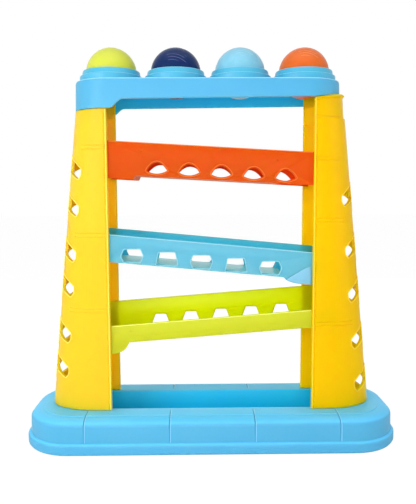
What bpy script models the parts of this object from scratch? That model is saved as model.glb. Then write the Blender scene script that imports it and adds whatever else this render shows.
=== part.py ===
"""Ball pounding bench: a base tray, two hollow pillars, a deck with four balls in soft collars, and
three sloping ramps between the pillars.

Metres, +Z up, +X along the row of balls, the front at -Y. The origin is under the middle of the base.
"""

import bmesh
import bpy
from math import acos, cos, pi, radians, sin, tan
from mathutils import Vector

# Fits that all pieces share
FIT_GAP = 0.0003
MOULDED_WALL = 0.0025
CUT_OVERRUN = 0.004
JOIN_DEPTH = 0.0012

# Balls and their row
BALL_RADIUS = 0.023
BALL_COUNT = 4
ROW_SHIFT = -0.002
BALL_RISE = 0.009

# Soft collars around the balls
COLLAR_WALL = 0.0017
COLLAR_FLANGE = 0.0025
COLLAR_FLANGE_HEIGHT = 0.0035
COLLAR_HEIGHT = 0.010
COLLAR_SLEEVE = 0.009
COLLAR_BEAD = 0.0007
COLLAR_BEAD_HEIGHT = 0.0025
COLLAR_SPACING = 0.004

# Deck
DECK_TOP = 0.330
DECK_BORDER = 0.0055
DECK_SKIRT = 0.0185
DECK_CAP_SKIRT = 0.026
DECK_CAP_SETBACK = 0.001
DECK_CAP_CURVE = 0.010
DECK_EDGE = 0.0028
DECK_DRAFT = 0.0006
DECK_FIT = 0.0004

# Ramps: three channels of one width
RAMP_SIDE_ROOM = 0.002
RAMP_WALL = 0.002
RAMP_FLOOR = 0.002
RAMP_SEAT = 0.0055
RAMP_LOW_SEAT = 0.0105
WINDOW_COUNT = 5
WINDOW_NOTCH = 0.0004
RAMP_END_RADIUS = 0.003
RAMP_PILLAR_GAP = 0.0005

# Upper ramp, falling to the right
UPPER_TOP = 0.2709
UPPER_DEPTH = 0.0295
UPPER_ANGLE = -3.35
UPPER_LIP = 0.003
UPPER_LIP_RUN = 0.0265
UPPER_FLOOR_START = 0.0265
UPPER_FLOOR_STOP = 0.030
UPPER_HOLE_START = -0.0481
UPPER_HOLE_PITCH = 0.0288
UPPER_HOLE_LENGTH = 0.018
UPPER_REAR_HOLE_LENGTH = 0.0245
UPPER_HOLE_ARCH = 0.0075
UPPER_HOLE_SAG = 0.0025
UPPER_HOLE_RISE = 0.0052

# Middle ramp, falling to the right
MIDDLE_TOP = 0.1843
MIDDLE_DEPTH = 0.0250
MIDDLE_ANGLE = -5.35
MIDDLE_BACK_RISE = 0.0024
MIDDLE_CHUTE_RUN = 0.025
MIDDLE_CHUTE_DROP = 0.0068
MIDDLE_FLOOR_STOP = 0.004
MIDDLE_HIGH_END = 0.0185
MIDDLE_END_RADIUS = 0.014
MIDDLE_HOLE_START = -0.0714
MIDDLE_HOLE_PITCH = 0.0313
MIDDLE_HOLE_LENGTH = 0.0195
MIDDLE_REAR_HOLE_LENGTH = 0.0225
MIDDLE_HOLE_TOP_SHARE = 0.76
MIDDLE_HOLE_HEIGHT = 0.0118
MIDDLE_HOLE_RISE = 0.0014

# Lower ramp, falling to the left
LOWER_TOP = 0.1160
LOWER_DEPTH = 0.0165
LOWER_ANGLE = 4.35
LOWER_BACK_RISE = 0.014
LOWER_SCOOP_RUN = 0.0155
LOWER_SCOOP_DROP = 0.0105
LOWER_FLOOR_STOP = 0.0045
LOWER_HIGH_END = 0.0285
LOWER_END_RADIUS = 0.016
LOWER_HOLE_START = -0.0496
LOWER_HOLE_PITCH = 0.0301
LOWER_HOLE_LENGTH = 0.0188
LOWER_HOLE_TOP_SHARE = 0.54
LOWER_HOLE_HEIGHT = 0.0115
LOWER_HOLE_DROP = 0.0025

# Pillars: sections open towards the middle
PILLAR_SETBACK = 0.003
PILLAR_TOP_REACH = 0.0316
PILLAR_FOOT_FLAT = 0.0135
PILLAR_FOOT_ROUND = 0.046
PILLAR_FOOT_SPREAD = 0.0005
NECK_HEIGHT = 0.017
NECK_INSET = 0.0011
NECK_STEP = 0.0005
NECK_LIP_HEIGHT = 0.0025
NECK_LIP_FLARE = 0.0006
LEDGE_HEIGHT = 0.003
LEDGE_WIDTH = 0.003
LEDGE_SETBACK = 0.0005
BOSS_RADIUS = 0.0035
BOSS_HEIGHT = 0.012
BOSS_SINK = 0.0008
BOSS_ANGLES = (-50, -20, 50)

# Leaf-shaped slots in the pillars' rounded sides: corners as shares of the half run and of the rise
SLOT_HALF_RUN = 0.0118
SLOT_RISE = 0.0115
SLOT_CORNER_RADIUS = 0.0012
FRONT_SLOT_ANGLE = -29.5
REAR_SLOT_ANGLE = 16
FRONT_SLOT_SHARES = ((-0.92, 1), (-0.93, -0.22), (0.77, -0.94), (1, -0.61), (1, -0.13), (0.42, 0.29))
REAR_SLOT_SHARES = ((1, -0.42), (-0.65, 0.07), (-1, -0.09), (-1, -0.7), (-0.7, -1.09), (0.15, -1.41),
                    (0.9, -1.43), (1, -1.13))
LEFT_SLOT_HEIGHT_SHARES = (0.791, 0.672, 0.524, 0.410, 0.257, 0.140)
RIGHT_SLOT_HEIGHT_SHARES = (0.701, 0.533, 0.386, 0.230, 0.086)

# Screws under the base
SCREW_RADIUS = 0.0014
SCREW_HEAD_RADIUS = 0.0031
SCREW_HEAD_HEIGHT = 0.0022
SCREW_HEAD_CROWN = 0.0007
SCREW_LENGTH = 0.012
SCREW_RECESS_RADIUS = 0.0012
SCREW_RECESS_DEPTH = 0.0013
SCREW_ROOM = 0.0006

# Base tray
BASE_RIM_HEIGHT = 0.031
BASE_LENGTH_BORDER = 0.021
BASE_DEPTH_BORDER = 0.028
BASE_CORNER_RADIUS = 0.045
BASE_CREASE_INSET = 0.015
BASE_CREASE_STEP = 0.0006
BASE_NOSE_INSET = 0.0032
BASE_NOSE_DROP = 0.0065
SKIRT_HEIGHT = 0.010
SKIRT_STEP = 0.0026
SKIRT_ROUND = 0.0024
BASE_FOOT_INSET = 0.0012
BASE_FOOT_LAND = 0.0024
BASIN_SIDE_ROOM = 0.0015
BASIN_END_SETBACK = 0.021
BASIN_FLOOR = 0.005
BASIN_DRAFT = 0.0012
BASIN_FLOOR_RADIUS = 0.006
BASIN_EDGE = 0.0008
PANEL_WIDTH = 0.0757
PANEL_GROOVE_WIDTH = 0.0008
PANEL_GROOVE_DEPTH = 0.0007

# Roundness of the meshes
CORNER_STEPS = 7
PILLAR_ARC_STEPS = 16
EDGE_STEPS = 3
TURNED_STEPS = 32
BALL_SEGMENTS = 24
BALL_RINGS = 14
SHARP_ANGLE = radians(32)
FLATNESS = 0.000001

# Places worked out from the sizes above
COLLAR_BORE = BALL_RADIUS + FIT_GAP
COLLAR_LIP_RADIUS = COLLAR_BORE + COLLAR_WALL
COLLAR_FLANGE_RADIUS = COLLAR_LIP_RADIUS + COLLAR_FLANGE
BALL_PITCH = COLLAR_FLANGE_RADIUS + COLLAR_FLANGE_RADIUS + COLLAR_SPACING
ROW_HALF_LENGTH = BALL_PITCH * (BALL_COUNT - 1) / 2
DECK_RADIUS = COLLAR_FLANGE_RADIUS + DECK_BORDER
DECK_UNDERSIDE = DECK_TOP - MOULDED_WALL
RAMP_INNER = BALL_RADIUS + RAMP_SIDE_ROOM
RAMP_OUTER = RAMP_INNER + RAMP_WALL
PILLAR_INNER = ROW_HALF_LENGTH + PILLAR_SETBACK
PILLAR_HALF_DEPTH = RAMP_OUTER + RAMP_PILLAR_GAP + MOULDED_WALL
PILLAR_FOOT = BASE_RIM_HEIGHT + FIT_GAP
PILLAR_FOOT_REACH = PILLAR_FOOT_FLAT + PILLAR_FOOT_ROUND
PILLAR_TOP = DECK_TOP - DECK_SKIRT
TONGUE_RADIUS = DECK_RADIUS - MOULDED_WALL - DECK_DRAFT - DECK_FIT
RAMP_END = PILLAR_INNER + RAMP_SEAT
RAMP_LOW_END = PILLAR_INNER + RAMP_LOW_SEAT
BASE_HALF_LENGTH = PILLAR_INNER + PILLAR_FOOT_REACH + BASE_LENGTH_BORDER
BASE_HALF_DEPTH = PILLAR_HALF_DEPTH + BASE_DEPTH_BORDER
BASIN_HALF_DEPTH = BALL_RADIUS + BASIN_SIDE_ROOM
BASIN_HALF_LENGTH = PILLAR_INNER + PILLAR_FOOT_REACH - BASIN_END_SETBACK


# Meshes and modifiers

def clear_scene():
    for item in list(bpy.data.objects):
        bpy.data.objects.remove(item, do_unlink=True)


def plastic(name, colour, roughness):
    material = bpy.data.materials.new(name)
    material.use_nodes = True
    shader = material.node_tree.nodes["Principled BSDF"]
    shader.inputs["Base Color"].default_value = (*colour, 1)
    shader.inputs["Roughness"].default_value = roughness
    shader.inputs["Metallic"].default_value = 0
    material.diffuse_color = (*colour, 1)
    return material


def is_twisted(face):
    """Whether a face's corners lie off one plane, which a Boolean would cut badly."""
    first = face.verts[0].co
    return any(abs((corner.co - first).dot(face.normal)) > FLATNESS for corner in face.verts)


def add_mesh(name, points, faces, place=(0, 0, 0), material=None):
    mesh = bpy.data.meshes.new(name)
    mesh.from_pydata([tuple(point) for point in points], [], faces)
    shell = bmesh.new()
    shell.from_mesh(mesh)
    bmesh.ops.recalc_face_normals(shell, faces=shell.faces)
    bmesh.ops.triangulate(shell, faces=[face for face in shell.faces if is_twisted(face)])
    shell.to_mesh(mesh)
    shell.free()
    mesh.shade_smooth()
    mesh.set_sharp_from_angle(angle=SHARP_ANGLE)
    if material:
        mesh.materials.append(material)
    item = bpy.data.objects.new(name, mesh)
    item.location = place
    bpy.context.collection.objects.link(item)
    return item


def ring_faces(ring_count, size, first=0):
    """Walls between rings of points, with a cap at each end."""
    faces = []
    for ring in range(ring_count - 1):
        for index in range(size):
            after = (index + 1) % size
            low = first + ring * size
            high = low + size
            faces.append((low + index, low + after, high + after, high + index))
    faces.append(tuple(range(first, first + size)))
    last = first + (ring_count - 1) * size
    faces.append(tuple(range(last, last + size)))
    return faces


def loft(name, rings, place=(0, 0, 0), material=None):
    points = [point for ring in rings for point in ring]
    return add_mesh(name, points, ring_faces(len(rings), len(rings[0])), place, material)


def loft_group(name, ring_lists, place=(0, 0, 0)):
    """Several separate closed shapes in one mesh, as a tool that cuts or joins."""
    points = []
    faces = []
    for rings in ring_lists:
        faces += ring_faces(len(rings), len(rings[0]), first=len(points))
        points += [point for ring in rings for point in ring]
    return add_mesh(name, points, faces, place)


def across(outline, back, front):
    """Rings of an X and Z outline, from the back to the front."""
    return [[(x, y, z) for x, z in outline] for y in (back, front)]


def upright(outline, low, high):
    """Rings of an X and Y outline, from its foot to its top."""
    return [[(x, y, z) for x, y in outline] for z in (low, high)]


def turned(name, profile, steps, place=(0, 0, 0), material=None):
    """A ring turned about Z from a closed profile of radius and height."""
    points = []
    faces = []
    size = len(profile)
    for step in range(steps):
        turn = 2 * pi * step / steps
        points += [(radius * cos(turn), radius * sin(turn), height) for radius, height in profile]
        after = (step + 1) % steps * size
        for index in range(size):
            beside = (index + 1) % size
            faces.append((step * size + index, step * size + beside, after + beside, after + index))
    return add_mesh(name, points, faces, place, material)


def shape_with(body, tool, operation):
    """Cut or join a body with a tool, which stays hidden."""
    modifier = body.modifiers.new(tool.name, "BOOLEAN")
    modifier.operation = operation
    modifier.solver = "EXACT"
    modifier.object = tool
    tool.hide_render = True
    tool.display_type = "WIRE"


def cut(body, tool):
    shape_with(body, tool, "DIFFERENCE")


def join(body, tool):
    shape_with(body, tool, "UNION")


# Outlines

def arc(centre, radii, start, stop, steps):
    """Points on an elliptic arc, with its angles in degrees."""
    turns = [radians(start + (stop - start) * step / steps) for step in range(steps + 1)]
    return [(centre[0] + radii[0] * cos(turn), centre[1] + radii[1] * sin(turn)) for turn in turns]


def disc(centre, radius, steps):
    return arc(centre, (radius, radius), 0, 360, steps)[:-1]


def rounded_plan(half_length, half_depth, radius):
    """A rounded rectangle seen from above."""
    points = []
    for quarter, (side, face) in enumerate(((1, 1), (-1, 1), (-1, -1), (1, -1))):
        centre = (side * (half_length - radius), face * (half_depth - radius))
        points += arc(centre, (radius, radius), 90 * quarter, 90 * quarter + 90, CORNER_STEPS)
    return points


def stadium_plan(half_length, radius, shift=0):
    """A slot shape seen from above, with as many points as a rounded rectangle and none of them double."""
    half_step = 90 / (2 * CORNER_STEPS + 1)
    points = []
    for quarter, side in enumerate((1, -1, -1, 1)):
        start = 90 * quarter + (0 if quarter % 2 else half_step)
        stop = 90 * quarter + 90 - (half_step if quarter % 2 else 0)
        centre = (shift + side * (half_length - radius), 0)
        points += arc(centre, (radius, radius), start, stop, CORNER_STEPS)
    return points


def rounded_outline(corners, radius, steps):
    """A closed outline with each corner replaced by a curve that starts one radius away."""
    points = []
    for index, corner in enumerate(corners):
        here = Vector(corner)
        before = Vector(corners[index - 1])
        after = Vector(corners[(index + 1) % len(corners)])
        start = here + (before - here).normalized() * radius
        stop = here + (after - here).normalized() * radius
        for step in range(steps + 1):
            share = step / steps
            spot = start * (1 - share) ** 2 + here * 2 * share * (1 - share) + stop * share ** 2
            points.append(tuple(spot))
    return points


# Base tray

def base_edge(inset, height):
    plan = rounded_plan(BASE_HALF_LENGTH - inset, BASE_HALF_DEPTH - inset, BASE_CORNER_RADIUS - inset)
    return [(x, y, height) for x, y in plan]


def basin_edge(inset, height):
    plan = stadium_plan(BASIN_HALF_LENGTH - inset, BASIN_HALF_DEPTH - inset)
    return [(x, y, height) for x, y in plan]


def base_side_profile():
    """The outer side of the tray as inset and height, from its foot to the crease of its rim."""
    nose_start = BASE_RIM_HEIGHT - BASE_NOSE_DROP
    crease = BASE_RIM_HEIGHT - BASE_CREASE_STEP
    nose_run = BASE_CREASE_INSET - BASE_NOSE_INSET
    foot = arc((SKIRT_ROUND, SKIRT_ROUND), (SKIRT_ROUND, SKIRT_ROUND), 240, 180, EDGE_STEPS)
    foot = [(BASE_FOOT_INSET, 0)] + [point for point in foot if point[1] > 0 and point[0] < BASE_FOOT_INSET]
    shoulder_height = SKIRT_HEIGHT - SKIRT_STEP
    shoulder = arc((SKIRT_STEP, shoulder_height), (SKIRT_STEP, SKIRT_STEP), 180, 90, EDGE_STEPS)
    nose = arc((BASE_CREASE_INSET, nose_start), (nose_run, crease - nose_start), 180, 90, EDGE_STEPS + 1)
    return foot + shoulder + nose


def make_base(material):
    underside = BASE_RIM_HEIGHT - MOULDED_WALL
    basin_underside = BASIN_FLOOR - MOULDED_WALL
    inner_wall = BASE_NOSE_INSET + MOULDED_WALL
    basin_curve = arc((0, BASIN_FLOOR_RADIUS), (BASIN_FLOOR_RADIUS, BASIN_FLOOR_RADIUS), 0, -90, EDGE_STEPS)
    rings = [
        basin_edge(BASIN_FLOOR_RADIUS - MOULDED_WALL, basin_underside),
        basin_edge(BASIN_DRAFT - MOULDED_WALL, BASIN_FLOOR_RADIUS + BASIN_FLOOR),
        basin_edge(-MOULDED_WALL, underside),
        base_edge(BASE_CREASE_INSET, underside),
        base_edge(inner_wall, underside - BASE_NOSE_DROP),
        base_edge(BASE_FOOT_INSET + BASE_FOOT_LAND, 0),
    ]
    rings += [base_edge(inset, height) for inset, height in base_side_profile()]
    rings += [
        base_edge(BASE_CREASE_INSET + BASE_CREASE_STEP, BASE_RIM_HEIGHT),
        basin_edge(-BASIN_EDGE, BASE_RIM_HEIGHT),
        basin_edge(0, BASE_RIM_HEIGHT - BASIN_EDGE),
    ]
    for run, rise in basin_curve:
        inset = BASIN_DRAFT + BASIN_FLOOR_RADIUS - run
        rings.append(basin_edge(inset, BASIN_FLOOR + rise))
    base = loft("base_tray", rings, material=material)
    cut(base, screw_bores("base_screw_bores", 0, BASE_RIM_HEIGHT + CUT_OVERRUN))
    cut(base, panel_grooves())
    return base


def panel_grooves():
    """Thin bands around the front and back of the tray, on the lines between its panels."""
    nose = [point for point in base_side_profile() if point[1] > SKIRT_HEIGHT + SKIRT_STEP]
    profile = [(SKIRT_STEP, SKIRT_HEIGHT + PANEL_GROOVE_WIDTH)] + nose
    crease_inset = BASE_CREASE_INSET + BASE_CREASE_STEP
    rim_stop = BASE_HALF_DEPTH - PILLAR_HALF_DEPTH - PILLAR_FOOT_SPREAD
    profile += [(crease_inset, BASE_RIM_HEIGHT), (rim_stop, BASE_RIM_HEIGHT)]
    rise = PANEL_GROOVE_DEPTH
    outer = [(inset - rise, height + rise) for inset, height in profile]
    inner = [(inset + rise, height - rise) for inset, height in profile]
    band = outer + inner[::-1]
    tools = []
    for place in (-PANEL_WIDTH * 3 / 2, -PANEL_WIDTH / 2, PANEL_WIDTH / 2, PANEL_WIDTH * 3 / 2):
        for face in (-1, 1):
            rings = []
            for side in (-1, 1):
                x = place + side * PANEL_GROOVE_WIDTH / 2
                rings.append([(x, face * (BASE_HALF_DEPTH - inset), height) for inset, height in band])
            tools.append(rings)
    return loft_group("panel_grooves", tools)


# Screws and the bosses that take them

def boss_places():
    """Centres of the pillar bosses, each set against the inside of the rounded foot."""
    flat_end = PILLAR_INNER + PILLAR_FOOT_FLAT
    reach = PILLAR_FOOT_ROUND - MOULDED_WALL
    half_depth = PILLAR_HALF_DEPTH + PILLAR_FOOT_SPREAD - MOULDED_WALL
    places = []
    for side in (-1, 1):
        for angle in BOSS_ANGLES:
            turn = radians(angle)
            wall = Vector((flat_end + reach * cos(turn), half_depth * sin(turn)))
            outward = Vector((cos(turn) / reach, sin(turn) / half_depth)).normalized()
            centre = wall - outward * (BOSS_RADIUS - BOSS_SINK)
            places.append((side * centre.x, centre.y))
    return places


def screw_bores(name, low, high):
    radius = SCREW_RADIUS + FIT_GAP
    tools = [upright(disc(place, radius, TURNED_STEPS // 3), low, high) for place in boss_places()]
    return loft_group(name, tools)


def make_screws(material):
    """Round-headed screws from under the tray's rim into the pillars' bosses."""
    head_top = BASE_RIM_HEIGHT - MOULDED_WALL - FIT_GAP
    head_low = -SCREW_HEAD_HEIGHT
    crown_radius = SCREW_HEAD_RADIUS - SCREW_HEAD_CROWN
    profile = [
        (SCREW_RECESS_RADIUS, head_low + SCREW_RECESS_DEPTH),
        (SCREW_RECESS_RADIUS, head_low),
        (crown_radius, head_low),
        (SCREW_HEAD_RADIUS, head_low + SCREW_HEAD_CROWN),
        (SCREW_HEAD_RADIUS, 0),
        (SCREW_RADIUS, 0),
        (SCREW_RADIUS, SCREW_LENGTH - SCREW_RADIUS),
        (SCREW_RADIUS / 2, SCREW_LENGTH),
    ]
    steps = TURNED_STEPS // 3
    rings = [[(x, y, height) for x, y in disc((0, 0), radius, steps)] for radius, height in profile]
    for number, (x, y) in enumerate(boss_places(), start=1):
        loft(f"base_screw_{number}", rings, place=(x, y, head_top), material=material)


# Pillars

def draft_share(height):
    """0 at the foot of a pillar and 1 at its top."""
    return (height - PILLAR_FOOT) / (PILLAR_TOP - PILLAR_FOOT)


def pillar_section(height, inset=0):
    """Where the flat side ends, and the reach and half depth of the rounded side beyond it."""
    share = draft_share(height)
    flat = PILLAR_FOOT_FLAT * (1 - share)
    reach = PILLAR_FOOT_ROUND + (PILLAR_TOP_REACH - PILLAR_FOOT_ROUND) * share - inset
    half_depth = PILLAR_HALF_DEPTH + PILLAR_FOOT_SPREAD * (1 - share) - inset
    return PILLAR_INNER + flat, reach, half_depth


def pillar_path(section, height, side):
    """Points around one face of a pillar, from its back edge to its front edge."""
    centre, reach, half_depth = section
    if centre > PILLAR_INNER:
        plan = arc((centre, 0), (reach, half_depth), 90, -90, PILLAR_ARC_STEPS)
        plan = [(PILLAR_INNER, half_depth)] + plan + [(PILLAR_INNER, -half_depth)]
    else:
        start = acos((PILLAR_INNER - centre) / reach) * 180 / pi
        plan = arc((centre, 0), (reach, half_depth), start, -start, PILLAR_ARC_STEPS + 2)
    return [(side * x, y, height) for x, y in plan]


def pillar_ring(outer, outer_height, inner, inner_height, side):
    return pillar_path(outer, outer_height, side) + pillar_path(inner, inner_height, side)[::-1]


def thinner(section):
    centre, reach, half_depth = section
    return centre, reach - MOULDED_WALL, half_depth - MOULDED_WALL


def tongue_section(side):
    """The round tongue that stands up inside the deck's skirt, about the end ball's axis."""
    return ROW_HALF_LENGTH + side * ROW_SHIFT, TONGUE_RADIUS, TONGUE_RADIUS


def pillar_levels(side):
    """Outer and inner sections of a pillar with their heights, from the foot to the tongue."""
    has_neck = side > 0
    skirt = DECK_SKIRT if has_neck else DECK_CAP_SKIRT
    shoulder = DECK_TOP - skirt - FIT_GAP
    below = shoulder - MOULDED_WALL
    levels = [(pillar_section(PILLAR_FOOT), PILLAR_FOOT, thinner(pillar_section(PILLAR_FOOT)), PILLAR_FOOT)]
    if has_neck:
        step = shoulder - NECK_HEIGHT
        lip = shoulder - NECK_LIP_HEIGHT
        for height, inset in ((step, 0), (step + NECK_STEP, NECK_INSET), (lip, NECK_INSET)):
            inner_height = height - MOULDED_WALL
            inner = thinner(pillar_section(inner_height, inset / 2))
            levels.append((pillar_section(height, inset), height, inner, inner_height))
        inner = thinner(pillar_section(below, NECK_INSET / 2))
        levels.append((pillar_section(shoulder, -NECK_LIP_FLARE), shoulder, inner, below))
    else:
        levels.append((pillar_section(shoulder), shoulder, thinner(pillar_section(below)), below))
    tongue = tongue_section(side)
    top = DECK_UNDERSIDE - FIT_GAP
    levels.append((tongue, shoulder, thinner(tongue), below))
    levels.append((tongue, top, thinner(tongue), top))
    return levels


def pillar_bosses(side):
    tools = []
    for x, y in boss_places():
        if x * side > 0:
            plan = disc((x, y), BOSS_RADIUS, TURNED_STEPS // 2)
            tools.append(upright(plan, PILLAR_FOOT + FIT_GAP, PILLAR_FOOT + BOSS_HEIGHT))
    return loft_group(f"bosses_{side_name(side)}", tools)


def pillar_ledges(side, ramps):
    """Small shelves inside a pillar's flat sides, under the ends of the ramps."""
    near = side * (PILLAR_INNER + LEDGE_SETBACK)
    far = side * RAMP_END
    wall = PILLAR_HALF_DEPTH - MOULDED_WALL
    tools = []
    for ramp in ramps:
        tops = [(x, ramp_bottom(ramp, x) - FIT_GAP) for x in (near, far)]
        outline = tops + [(x, z - LEDGE_HEIGHT) for x, z in tops[::-1]]
        for face in (-1, 1):
            tools.append(across(outline, face * (wall - LEDGE_WIDTH), face * (wall + JOIN_DEPTH)))
    return loft_group(f"ledges_{side_name(side)}", tools)


def slot_outline(shares):
    """One slot's corners, as the run towards the front and the rise."""
    corners = [(run * SLOT_HALF_RUN, rise * SLOT_RISE) for run, rise in shares]
    return rounded_outline(corners, SLOT_CORNER_RADIUS, 1)


def pillar_slots(side, height_shares):
    tools = []
    for share in height_shares:
        height = PILLAR_FOOT + share * (PILLAR_TOP - PILLAR_FOOT)
        centre, reach, half_depth = pillar_section(height)
        for angle, shares in ((FRONT_SLOT_ANGLE, FRONT_SLOT_SHARES), (REAR_SLOT_ANGLE, REAR_SLOT_SHARES)):
            turn = radians(angle)
            place = Vector((side * (centre + reach * cos(turn)), half_depth * sin(turn), height))
            outward = Vector((side * cos(turn) / reach, sin(turn) / half_depth, 0)).normalized()
            frontward = Vector((side * outward.y, -side * outward.x, 0))
            rings = []
            for depth in (-MOULDED_WALL - CUT_OVERRUN, CUT_OVERRUN):
                middle = place + outward * depth
                outline = slot_outline(shares)
                rings.append([middle + frontward * run + Vector((0, 0, rise)) for run, rise in outline])
            tools.append(rings)
    return loft_group(f"slots_{side_name(side)}", tools)


def side_name(side):
    return "left" if side < 0 else "right"


def make_pillar(side, height_shares, ramps, material):
    rings = [pillar_ring(*level, side) for level in pillar_levels(side)]
    pillar = loft(f"{side_name(side)}_pillar", rings, material=material)
    join(pillar, pillar_bosses(side))
    join(pillar, pillar_ledges(side, ramps))
    cut(pillar, pillar_slots(side, height_shares))
    top = PILLAR_FOOT + SCREW_LENGTH - MOULDED_WALL + SCREW_ROOM
    cut(pillar, screw_bores(f"boss_bores_{side_name(side)}", PILLAR_FOOT - CUT_OVERRUN, top))
    return pillar


# Deck and what stands in it

def deck_edge(inset, height):
    radius = DECK_RADIUS - inset
    plan = stadium_plan(ROW_HALF_LENGTH + radius, radius, shift=ROW_SHIFT)
    return [(x, y, height) for x, y in plan]


def make_deck(material):
    skirt_bottom = DECK_TOP - DECK_CAP_SKIRT
    rings = [
        deck_edge(MOULDED_WALL + DECK_DRAFT, DECK_UNDERSIDE),
        deck_edge(MOULDED_WALL, skirt_bottom),
        deck_edge(0, skirt_bottom),
    ]
    corner = arc((DECK_DRAFT + DECK_EDGE, DECK_TOP - DECK_EDGE), (DECK_EDGE, DECK_EDGE), 180, 90, EDGE_STEPS)
    rings += [deck_edge(inset, height) for inset, height in corner]
    deck = loft("top_deck", rings, material=material)
    cut(deck, deck_skirt_cut())
    radius = COLLAR_LIP_RADIUS + FIT_GAP
    holes = [upright(disc((x, 0), radius, TURNED_STEPS), DECK_UNDERSIDE - CUT_OVERRUN, DECK_TOP + CUT_OVERRUN)
             for x in ball_places()]
    cut(deck, loft_group("deck_holes", holes))
    return deck


def deck_skirt_cut():
    """The skirt is deep at the left end only, and a curve leads up from it."""
    low = DECK_TOP - DECK_CAP_SKIRT
    rise = DECK_CAP_SKIRT - DECK_SKIRT
    start = ROW_SHIFT - ROW_HALF_LENGTH - DECK_CAP_SETBACK
    steps = EDGE_STEPS + EDGE_STEPS
    curve = [(start + DECK_CAP_CURVE * step / steps, low + rise * (1 - cos(pi * step / steps)) / 2)
             for step in range(steps + 1)]
    far = ROW_HALF_LENGTH + DECK_RADIUS + CUT_OVERRUN
    outline = [(start, low - CUT_OVERRUN)] + curve + [(far, low + rise), (far, low - CUT_OVERRUN)]
    reach = DECK_RADIUS + CUT_OVERRUN
    return loft_group("deck_skirt_cut", [across(outline, reach, -reach)])


def ball_places():
    return [ROW_SHIFT + BALL_PITCH * number - ROW_HALF_LENGTH for number in range(BALL_COUNT)]


def make_collars(material):
    """Soft sleeves with a flange on the deck and a bead under it, each around one ball."""
    under = -MOULDED_WALL - FIT_GAP
    seat = FIT_GAP
    rise = COLLAR_HEIGHT - COLLAR_FLANGE_HEIGHT
    shoulder = arc((COLLAR_LIP_RADIUS, COLLAR_FLANGE_HEIGHT), (COLLAR_FLANGE, rise), 0, 75, EDGE_STEPS)
    profile = [
        (COLLAR_BORE, -COLLAR_SLEEVE),
        (COLLAR_LIP_RADIUS, -COLLAR_SLEEVE),
        (COLLAR_LIP_RADIUS, under - COLLAR_BEAD_HEIGHT),
        (COLLAR_LIP_RADIUS + COLLAR_BEAD, under - COLLAR_BEAD_HEIGHT / 2),
        (COLLAR_LIP_RADIUS + COLLAR_BEAD, under),
        (COLLAR_LIP_RADIUS, under),
        (COLLAR_LIP_RADIUS, seat),
        (COLLAR_FLANGE_RADIUS, seat),
    ]
    profile += shoulder + [(COLLAR_BORE, COLLAR_HEIGHT)]
    for number, x in enumerate(ball_places(), start=1):
        turned(f"grip_collar_{number}", profile, TURNED_STEPS, place=(x, 0, DECK_TOP), material=material)


def make_balls(materials):
    for x, (name, material) in zip(ball_places(), materials.items()):
        mesh = bpy.data.meshes.new(name)
        shell = bmesh.new()
        bmesh.ops.create_uvsphere(shell, u_segments=BALL_SEGMENTS, v_segments=BALL_RINGS, radius=BALL_RADIUS)
        shell.to_mesh(mesh)
        shell.free()
        mesh.shade_smooth()
        mesh.materials.append(material)
        ball = bpy.data.objects.new(name, mesh)
        ball.location = (x, 0, DECK_TOP + BALL_RISE)
        bpy.context.collection.objects.link(ball)


# Ramps

def ramp_bottom_line(ramp):
    """The lower edge of a ramp's side, from left to right, as places and heights."""
    def level(x):
        return ramp["top"] - ramp["depth"] + x * tan(radians(ramp["angle"]))

    left, right = ramp["left"], ramp["right"]
    if ramp["name"] == "upper_ramp":
        lip_end = UPPER_LIP_RUN - PILLAR_INNER
        lip_stop = lip_end + UPPER_LIP / 2
        lowered = [(x, level(x) - UPPER_LIP) for x in (left, lip_end)]
        return lowered + [(lip_stop, level(lip_stop)), (right, level(right))]
    if ramp["name"] == "middle_ramp":
        start = PILLAR_INNER - MIDDLE_CHUTE_RUN
        low = level(start) - MIDDLE_CHUTE_DROP
        curve = arc((PILLAR_INNER, level(start)), (MIDDLE_CHUTE_RUN, MIDDLE_CHUTE_DROP), 180, 270, EDGE_STEPS)
        return [(left, level(left))] + curve + [(right, low)]
    start = LOWER_SCOOP_RUN - PILLAR_INNER
    low = level(start) - LOWER_SCOOP_DROP
    curve = arc((-PILLAR_INNER, level(start)), (LOWER_SCOOP_RUN, LOWER_SCOOP_DROP), 270, 360, EDGE_STEPS)
    return [(left, low)] + curve + [(right, level(right))]


def ramp_bottom(ramp, x):
    """Height of a ramp's lower edge at one place."""
    line = ramp_bottom_line(ramp)
    for (x_before, z_before), (x_after, z_after) in zip(line, line[1:]):
        if x_before <= x <= x_after:
            share = (x - x_before) / (x_after - x_before)
            return z_before + (z_after - z_before) * share
    raise ValueError("place beyond the ramp")


def ramp_top(ramp, x, rise=0):
    return ramp["top"] + rise + x * tan(radians(ramp["angle"]))


def ramp_plan(ramp):
    """A ramp from above, with each end's own corner radius."""
    points = []
    corners = (("right", 1, 0), ("left", 1, 90), ("left", -1, 180), ("right", -1, 270))
    for end, face, angle in corners:
        radius = ramp[f"{end}_radius"]
        inward = 1 if end == "left" else -1
        centre = (ramp[end] + inward * radius, face * (RAMP_OUTER - radius))
        points += arc(centre, (radius, radius), angle, angle + 90, EDGE_STEPS + EDGE_STEPS)
    return points


def make_ramp(ramp, material):
    """A channel: the outer block, hollowed from above, opened where balls drop through, and pierced."""
    left, right = ramp["left"], ramp["right"]
    line = ramp_bottom_line(ramp)
    back_rise = ramp["back_rise"]
    tops = [(x, ramp_top(ramp, x, back_rise)) for x in (right, left)]
    body = loft(ramp["name"], across(line + tops, RAMP_OUTER, -RAMP_OUTER), material=material)
    span = right - left
    over = ramp["top"] + span
    under = ramp["top"] - span
    plan_tool = loft_group(f"{ramp['name']}_plan", [upright(ramp_plan(ramp), under, over)])
    shape_with(body, plan_tool, "INTERSECT")
    cut(body, ramp_channel(ramp, line, over))
    cut(body, ramp_floor_openings(ramp, under))
    if back_rise:
        cut(body, ramp_front_trim(ramp))
    cut(body, ramp_holes(ramp))
    return body


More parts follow.
